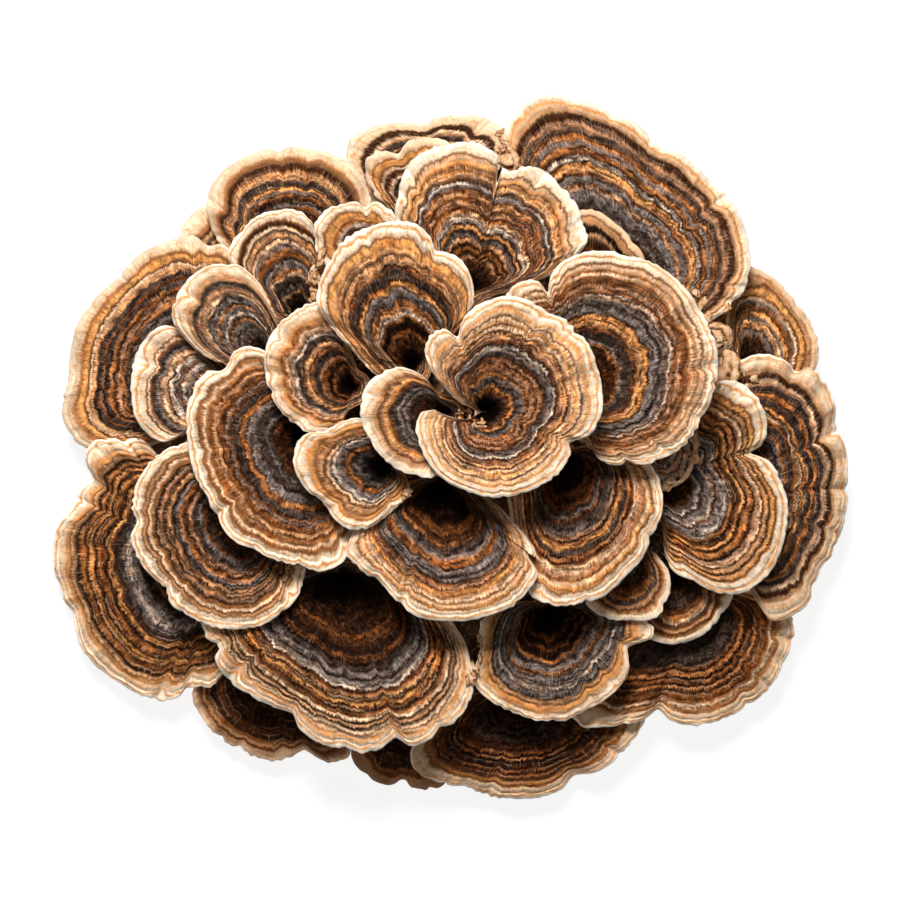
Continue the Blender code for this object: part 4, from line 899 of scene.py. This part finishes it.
# ------------------------------------------------------------------------------------------
# The outer ring. The widest and lowest fans. They droop towards the ground and make the
# outline of the rosette.
# ------------------------------------------------------------------------------------------
grow_ring("outer_cap", 32, (
    ("amber_cap", (40.5, 41.25, 20), 9, 13,
     "54 31.75, 59.5 30.5, 64.5 31.25, 69.5 34.5, 73.5 38.75, 75.25 43.75, 75.25 49.25, 74 54.75, "
     "71 61, 66.5 66, 56.5 74.25, 52 76, 47 81, 41.25 83.75, 29 87.75, 24 88.75, 19.5 87, 15.5 83.25, "
     "13.75 79.25, 12.5 71.75, 13.75 65.5, 22.5 54.25",
     "C1.1 c0.7 a0.6 w1.0 t0.6 d1.9 P1.6 s1.8 o1.0 g1.8 o0.9 d1.5 p0.4 s0.6 a0.9 t1.2 b0.6 g2.0 t0.9 "
     "g3.4 s1.6 g1.5 d2 b2 k3"),
    ("tan_cap", (74.5, 19.75, 9), 3, 5,
     "85 16.25, 90.5 17.75, 92.75 22.25, 92.5 26.75, 90.5 31.75, 87 36.75, 79 44, 75 45.5, "
     "71.25 42.25, 69.5 34.25",
     "w1.6 t1.2 b0.6 a1.4 b0.8 w0.8 g0.6 b1.4 a1.2 g0.8 w0.8 t1.2 g1.2 w1.2"),
    ("amber_cap", (70, -10.75, 16), 7, 12,
     "75 -35.75, 81.25 -43.75, 86.75 -42.25, 90.5 -38.25, 91 -34.75, 97.5 -24.5, 99.5 -17, 100 -8.25, "
     "99.5 -0.75, 97.25 4.75, 96.5 11.25, 93.5 16.75, 90.5 19.75, 86.5 19, 84.5 21.5, 80.5 23, "
     "72 21.5, 68 15.5, 65.5 4.25",
     "C0.6 a0.2 c0.6 c1.1 w0.9 t0.6 d1.8 w0.5 P0.9 s1.6 o1.4 s2.0 a0.5 d1.2 w0.4 b1.4 s1.6 o1.0 g1.2 "
     "s2.0 o1.0 s2 k3"),
    # This cap and the four after it lie to the south, in the shade of the caps above: their inner bands are
    # listed darker than their flesh, as painted shade.
    ("amber_cap", (60, -41.25, 12), 5, 8,
     "43.75 -48.25, 32.5 -58.25, 29 -65.75, 32.5 -69.75, 38.5 -70.25, 49.5 -68, 52.25 -66, "
     "55.5 -68.75, 61.25 -70, 67.5 -68.75, 73.75 -66, 78.75 -62.25, 83.25 -56.25, 85.75 -50.75, "
     "86.75 -45.75, 85 -41.25, 80 -37, 70 -35.75",
     "C0.6 a0.2 c0.6 c0.8 w0.7 o1.1 l0.3 w0.9 b0.8 b0.9 b1.0 l0.3 d0.9 o0.6 d1.0 b0.8 k0.8 o1.2 d0.7 "
     "b0.6 s0.4 s4.5 s1.0 s2.0 k3"),
    ("brown_cap", (18, -63, 10), 4, 7,
     "0 -64.5, -7.5 -72, -10 -77, -9.25 -80.75, -1 -85, 5 -85.75, 9 -87.5, 15.5 -88.75, 22.5 -88.25, "
     "28 -86.25, 31 -83, 37 -81.75, 46 -73.75, 49 -68.75, 45 -63.25, 32.5 -58.25",
     "C0.6 a0.2 c0.6 c0.7 w0.6 l0.3 o1.3 l0.3 d0.9 b0.5 d0.9 b0.6 d0.5 d1.2 k0.9 o0.5 k0.8 b1.2 d0.8 "
     "d0.7 d1.0 s1.6 k0.8 s1.4 k2", {"throat": 0.50}),
    ("brown_cap", (-13, -70.25, 7), 2, 3.5,
     "-22 -72, -25 -77, -23 -81.25, -19 -84.25, -15 -85.25, -12.25 -83.75, -9 -86, -4.5 -86.25, "
     "-1 -84.5, 0 -79.5, -5 -72",
     "P1.2 t0.8 b1.2 o0.6 d1.0 d1.4 d1.2 d1.0 k2"),
    ("brown_cap", (-42.5, -56.25, 8), 3, 4.5,
     "-58.75 -53.25, -63.5 -58.25, -64.75 -63.75, -62 -68.75, -57.5 -73.75, -51.5 -77, -45 -79, "
     "-40 -78, -36.75 -76.5, -33 -78.5, -28.75 -79.75, -25.75 -78.25, -25 -73.75, -28.75 -64.5",
     "w1.0 P1.0 b0.5 t0.8 b1.2 d0.5 d1.0 b0.9 d1.2 d0.9 d1.4 d1.2 k2.5"),
    ("amber_cap", (-61.25, -27, 11), 5, 10,
     "-70 -6, -77.5 2, -84.5 2.2, -90.3 1.2, -91.9 -3, -89.9 -8.1, -93.5 -11.25, -95.25 -15.75, "
     "-98.5 -19.25, -100 -25.25, -99.5 -32, -97.5 -38.25, -95 -42.75, -94.25 -47.75, -90.5 -53.75, "
     "-85 -58.5, -78.75 -62, -72.5 -63.75, -68 -62.75, -66 -60.5, -61.25 -60.75, -57 -57, -55 -48.25, "
     "-56.25 -35.75",
     "W0.7 a0.2 W0.5 c0.7 w0.8 a0.9 l0.3 t0.8 k1.7 o0.7 d1.4 a0.5 k1.7 o0.5 b0.9 k1.3 a0.5 d1.5 s1.4 "
     "g1.8 p0.5 g2.0 s2.6 o0.6 k1.6 g1.2 s1.8 k1.5 k3", {"throat": 0.30}),
    # This cap and the three after it lie on the side towards the light: their edge starts with the duller
    # cream c in place of C, painted darker to offset the stronger light on them.
    ("tan_cap", (-61.25, 18.75, 13), 6, 12,
     "-53.5 34.25, -52.5 43, -54 48.25, -57 51, -60.5 50.5, -64.5 53, -69.5 52.25, -75 50.25, "
     "-79.5 47.25, -83 42.75, -87 39.75, -91 35.5, -94.25 29.75, -95.5 24.25, -96 18, -97.25 12.25, "
     "-97.5 7.25, -95 2.25, -90.5 -0.75, -80 -0.5, -75 0.25, -68.75 3.75",
     "c1.4 w1.0 o1.0 a1.6 b0.4 w0.8 t1.4 s1.2 b1.0 s1.2 o1.0 d1.0 P1.0 o1.0 s1.4 g1.0 s1.5 b1.0 d2 k3"),
    ("tan_cap", (-52.5, 46.25, 8.5), 3, 4,
     "-52.5 54.25, -55 57.75, -58.5 60.25, -61.75 60.75, -65 58.5, -67.5 55.5, -68.5 51.75, -65 48",
     "c1.4 w1.1 o1.0 d0.8 t1.6 s1.2 o0.8 d1.5 k2"),
    ("tan_cap", (-38.75, 46.25, 15), 6, 10,
     "-24.5 54.75, -20 59.75, -20.5 64.25, -23 68.75, -27 72.25, -38 75.25, -44.5 75.25, -50 73.5, "
     "-55 71, -59 67.25, -61 63, -60.5 56.25, -56.25 49.25",
     "c1.4 w1.1 o1.1 l0.3 d1.8 l0.2 t2.2 s1.7 a1.0 g0.7 o0.7 d1.4 g0.9 b1.5 d1.5 k2"),
    ("tan_cap", (-3.5, 68.75, 10), 5, 5,
     "12.5 69.75, 14.5 75.5, 13.5 79.75, 10.5 82, 6.25 83.25, 1.25 83.5, -3.5 83, -6.5 81.25, "
     "-13.75 81.5, -18.5 81, -22.5 79, -25.5 76.25, -26 72.25, -24.5 67.25, -19.5 60.5",
     "c1.6 w1.2 d2.2 w0.9 t0.8 s1.8 t0.9 d1.0 b1.5 k2"),
))

# ------------------------------------------------------------------------------------------
# The small caps. Young lips and late fans that fill the last gaps between the larger ones.
# ------------------------------------------------------------------------------------------
grow_ring("small_cap", 44, (
    ("tan_cap", (33.5, 36.25, 25), 8, 2,
     "47.5 40.5, 49.5 44.75, 48.25 48, 45.75 51.5, 39.25 57.5, 36 59.25, 32.5 59, 29.5 57.25, 27.5 53",
     "w1.5 l0.3 t1.3 k1.6 t0.9 d2 b1 k2"),
    ("tan_cap", (63.5, 23.75, 14), 5, 1,
     "65.5 15.75, 69.25 15.75, 71.5 18, 71.25 21.25, 69.5 23.75, 70.75 26.25, 69 28.75, 66 30, 63 28.5",
     "C0.7 a0.2 C0.4 c0.7 w1.2 a1.0 w0.8 t1.0 b0.8 d1.5"),
    ("brown_cap", (51.25, -0.25, 27), 4, 0,
     "51.25 -8.25, 53.5 -11, 56.5 -9.75, 60 -6.75, 61.75 -2.75, 61 1.75, 57.5 2.75",
     "w1.4 d0.4 p1.2 b0.5 w0.9 d0.6 p1.2 b0.6 P1.0 d0.8 k2", {"throat": 0.10, "pit": 0.5, "crumple": 3.2}),
    ("tan_cap", (-28, 39.75, 23.5), 5, 0,
     "-28.75 44.75, -32 46.25, -34.75 44.75, -35.5 41.75, -34 39.25, -34.75 36.25, -32 33.75, "
     "-28.75 34.75",
     "w1.0 t0.8 b0.8 a0.6 d1.5 k1.5"),
))

# ------------------------------------------------------------------------------------------
# Knobs and scraps. Where the caps crowd each other, young ones stay as beads in the slit of the
# centre cap, as lumps with a curled lip, and as crumpled scraps between two margins.
# ------------------------------------------------------------------------------------------
KNOB_ROWS, KNOB_COLUMNS = 11, 18
KNOB_MIDDLE, KNOB_LUMPS = 0.9, ((1.3, 0.7), (0.8, 0.33))  # lumps: part of the radius, and size
KNOBS = (  # middle (x, y, z), half length, half width, half height, turn in degrees
    (7.9, 6.0, 48.9, 1.10, 1.00, 1.15, 0), (5.0, 7.0, 48.2, 0.95, 1.00, 2.2, 0),
    (4.5, 8.5, 43.5, 0.90, 1.30, 4.2, 30), (7.7, 5.1, 49.3, 1.40, 0.60, 0.5, -10),
    (2.2, 8.3, 43.0, 1.10, 0.90, 4.0, 0), (6.0, 5.3, 49.8, 0.70, 0.60, 0.6, 0),
    (-10.8, -11.7, 42.3, 1.50, 1.35, 1.2, 20), (-9.7, -11.0, 42.5, 0.90, 0.45, 0.4, 35),
    (-32.2, 47.2, 31.3, 1.40, 2.10, 1.3, 10), (-33.8, 42.6, 29.3, 1.20, 1.80, 1.1, 0),
    (-32.6, 42.2, 29.0, 1.00, 1.20, 1.0, 40), (-33.0, 41.0, 28.6, 1.10, 0.90, 1.0, 0),
    (-34.0, 39.1, 27.1, 1.20, 1.20, 1.1, 0), (-34.3, 37.0, 28.4, 1.00, 1.40, 1.0, 15),
    (61.6, 38.4, 24.6, 1.20, 1.20, 0.9, 0), (63.2, 35.9, 24.3, 1.00, 1.60, 0.8, -20),
    (64.6, 32.6, 23.4, 1.10, 1.50, 0.8, 10), (69.1, 34.5, 22.9, 1.30, 0.90, 0.7, 40),
    (67.2, 27.1, 25.6, 2.80, 3.10, 1.3, 15), (69.2, 19.6, 25.8, 2.60, 4.10, 1.4, 8),
    (13.0, 74.4, 27.4, 1.60, 1.20, 0.9, 20), (14.6, 71.6, 28.2, 2.00, 1.80, 0.9, -20),
    (12.5, 78.6, 26.9, 1.20, 0.90, 0.8, 0), (13.8, 76.6, 27.2, 1.10, 1.40, 0.8, 25),
    (17.4, 69.6, 28.2, 1.00, 0.90, 0.8, 0), (66.8, 15.6, 29.6, 1.00, 1.00, 0.9, 0),
    (76.2, 17.0, 23.1, 1.30, 1.30, 0.9, 0), (73.6, 18.4, 22.8, 1.00, 0.80, 0.6, 0),
    (61.2, 1.1, 31.6, 0.90, 2.20, 1.0, -10), (60.8, -2.8, 32.2, 1.50, 1.40, 1.2, 0),
    (59.2, -2.4, 31.6, 1.20, 1.30, 1.1, 30), (57.7, -6.6, 32.0, 1.10, 0.90, 0.9, 20),
    (54.7, -8.7, 31.6, 1.70, 0.90, 0.8, 35), (54.0, -10.5, 31.4, 1.40, 0.80, 0.8, 25),
    (56.1, -4.3, 31.0, 0.80, 1.90, 0.7, -40), (58.0, -4.8, 31.3, 0.70, 1.60, 0.8, -20),
    (7.6, -47.7, 25.8, 0.80, 1.30, 0.7, 10), (8.0, -49.7, 25.7, 0.80, 0.90, 0.7, 0),
    (7.6, -52.8, 28.0, 0.90, 1.40, 0.8, -10), (6.2, -55.4, 29.6, 1.00, 1.50, 0.9, 20),
    (5.2, -57.7, 31.2, 1.40, 1.60, 1.0, 0),
)


def lumpy_knob(knob, seed):
    """An ellipsoid turned about the vertical, each direction's radius raised and lowered by
    two sizes of noise."""
    x, y, z, long, wide, high, turn = knob
    fall = (np.arange(KNOB_ROWS) + 1.0)[:, None] * math.pi / (KNOB_ROWS + 1)
    round_about = np.arange(KNOB_COLUMNS) * 2.0 * math.pi / KNOB_COLUMNS
    way = np.stack((np.sin(fall) * np.cos(round_about), np.sin(fall) * np.sin(round_about),
                    np.cos(fall) * np.ones(KNOB_COLUMNS)), axis=-1)
    radius = KNOB_MIDDLE + sum(add * (flesh_noise(way, size, seed) - 0.5) for add, size in KNOB_LUMPS)
    spot = way * radius[..., None] * (long, wide, high)
    c, s = math.cos(math.radians(turn)), math.sin(math.radians(turn))
    spot = np.stack((c * spot[..., 0] - s * spot[..., 1], s * spot[..., 0] + c * spot[..., 1],
                     spot[..., 2]), axis=-1)
    return closed_shell("knob", spot + (x, y, z), np.array((x, y, z + high)), np.array((x, y, z - high)))


LIP_RINGS, LIP_SIDES = 26, 14
LIP_LEAST, LIP_LUMPS = 0.25, ((1.0, 1.5), (0.6, 0.6))
LIPS = (  # radius, then places (x, y, z) along the curled edge of a young cap
    (1.15, ((64.4, 29.4, 26.2), (66.4, 30.3, 26.6), (68.6, 29.6, 26.6), (69.9, 27.6, 26.4),
            (69.4, 25.2, 26.0))),
    (1.25, ((69.2, 23.9, 26.0), (70.9, 22.2, 26.6), (71.4, 19.6, 26.8), (70.9, 17.0, 26.6),
            (69.9, 15.4, 26.2))),
    (0.95, ((14.2, 74.6, 27.9), (16.0, 73.2, 28.4), (16.7, 71.0, 28.6), (15.8, 68.9, 28.4))),
)


def curled_lip(radius, places, seed):
    """A bent roll. Its middle line is the cubic curve closest to the places, and its round section
    swells and shrinks with noise and closes at both ends as the root of a sine."""
    along = np.linspace(0.0, 1.0, LIP_RINGS)
    knots = np.linspace(0.0, 1.0, len(places))
    line = np.vander(along, 4) @ np.polyfit(knots, np.array(places), 3)
    ahead = np.gradient(line, axis=0)
    ahead /= np.linalg.norm(ahead, axis=1)[:, None]
    aside = np.cross(ahead, (0.0, 0.0, 1.0))
    aside /= np.linalg.norm(aside, axis=1)[:, None]
    above = np.cross(aside, ahead)
    turn = np.arange(LIP_SIDES) * 2.0 * math.pi / LIP_SIDES
    way = np.cos(turn)[:, None] * aside[:, None, :] + np.sin(turn)[:, None] * above[:, None, :]
    spread = line[:, None, :] + way
    swell = LIP_LEAST + sum(add * flesh_noise(spread, size, seed) for add, size in LIP_LUMPS)
    closing = np.sqrt(np.sin(math.pi * np.clip(along, 0.01, 0.99)))[:, None]
    spot = line[:, None, :] + way * (radius * swell * closing)[..., None]
    return closed_shell("lip", spot, line[0], line[-1])


def joined(name, pieces):
    """One object out of several, which are removed."""
    shape = bmesh.new()
    for piece in pieces:
        shape.from_mesh(piece.data)
        bpy.data.objects.remove(piece)
    mesh = bpy.data.meshes.new(name)
    shape.to_mesh(mesh)
    shape.free()
    return placed(name, mesh)


def knob_flesh():
    """Tan lumps, painted lighter towards cream where a face points up, as painted light from
    above: the way a face points picks the tone, mottled by noise, and fine noise roughens it."""
    flesh = Flesh("knob flesh", 0.7, 0.05)
    mottle = flesh.noise(flesh.add("TexCoord").outputs["Object"], 700.0, 4.0, 0.7)
    up = flesh.add("SeparateXYZ", Vector=flesh.add("NewGeometry").outputs["Normal"]).outputs["Z"]
    # Painted light: faces that point up are lighter, as if lit from above.
    tone = flesh.maths("MULTIPLY_ADD", up, 0.38, mottle)
    colour = flesh.ramp(tone, ((0.30, GROWTH_TINTS["d"]), (0.52, GROWTH_TINTS["b"]),
                               (0.78, GROWTH_TINTS["t"]), (1.00, GROWTH_TINTS["w"])))
    return flesh.finished(colour, mottle, 0.6, 0.0004)


lips = [curled_lip(radius, places, seed) for seed, (radius, places) in enumerate(LIPS)]
knobs = joined("knobs", [lumpy_knob(knob, seed) for seed, knob in enumerate(KNOBS)] + lips)
knobs.data.materials.append(knob_flesh())
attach(knobs, "root")

# ------------------------------------------------------------------------------------------
# The studio: a plain pale floor, one broad soft light from the top of the picture, a weak
# fill from below it, and a white surround. The camera looks straight down.
# ------------------------------------------------------------------------------------------
FLOOR_HALF, FLOOR_DROP = 3.0, 0.0002  # all lengths in this section are metres
WHITE = (1.0, 1.0, 1.0, 1.0)


def studio_floor():
    """A plain pale square of floor, a hair below the cut face."""
    mesh = bpy.data.meshes.new("floor")
    corners = [(FLOOR_HALF * x, FLOOR_HALF * y, -FLOOR_DROP)
               for x, y in ((-1, -1), (1, -1), (1, 1), (-1, 1))]
    mesh.from_pydata(corners, [], [(0, 1, 2, 3)])
    floor = placed("floor", mesh)
    paint = Flesh("pale floor", 0.95, 0.35)
    paint.inputs["Base Color"].default_value = (0.16, 0.16, 0.16, 1.0)
    paint.inputs["Emission Color"].default_value = WHITE
    paint.inputs["Emission Strength"].default_value = 0.86
    mesh.materials.append(paint.material)


def soft_light(name, place, aim, size, power):
    """A square area light that faces its aim."""
    light = bpy.data.lights.new(name, "AREA")
    light.shape, light.size, light.energy = "SQUARE", size, power
    lamp = placed(name, light)
    lamp.location = place
    away = np.array(place) - np.array(aim)
    turn = math.atan2(away[1], away[0])
    lean = math.atan2(math.hypot(away[0], away[1]), away[2])
    lamp.rotation_euler = (0.0, lean, turn)


studio_floor()
ROSETTE_MIDDLE = (0.0, 0.0, 0.02)
soft_light("key light", (-0.12, 0.66, 1.02), ROSETTE_MIDDLE, 0.40, 25.0)
soft_light("fill light", (0.10, -0.20, 1.3), ROSETTE_MIDDLE, 0.9, 2.6)
studio = bpy.context.scene
studio.world = bpy.data.worlds.new("white surround")
studio.world.use_nodes = True
background = studio.world.node_tree.nodes["Background"].inputs
background["Color"].default_value = WHITE
background["Strength"].default_value = 0.07
studio.view_settings.view_transform = "Standard"
studio.view_settings.look = "None"

PICTURE_WIDTH, CAMERA_AWAY, CAMERA_LENS = 0.225, 2.5, 400.0
PICTURE_Y, PICTURE_LEVEL = -0.00075, 0.025
lens = bpy.data.cameras.new("camera")
lens.lens, lens.sensor_width = CAMERA_LENS, PICTURE_WIDTH / CAMERA_AWAY * CAMERA_LENS
lens.clip_start, lens.clip_end = 0.1, 20.0
studio.camera = placed("camera", lens)
studio.camera.location = (0.0, PICTURE_Y, CAMERA_AWAY + PICTURE_LEVEL)
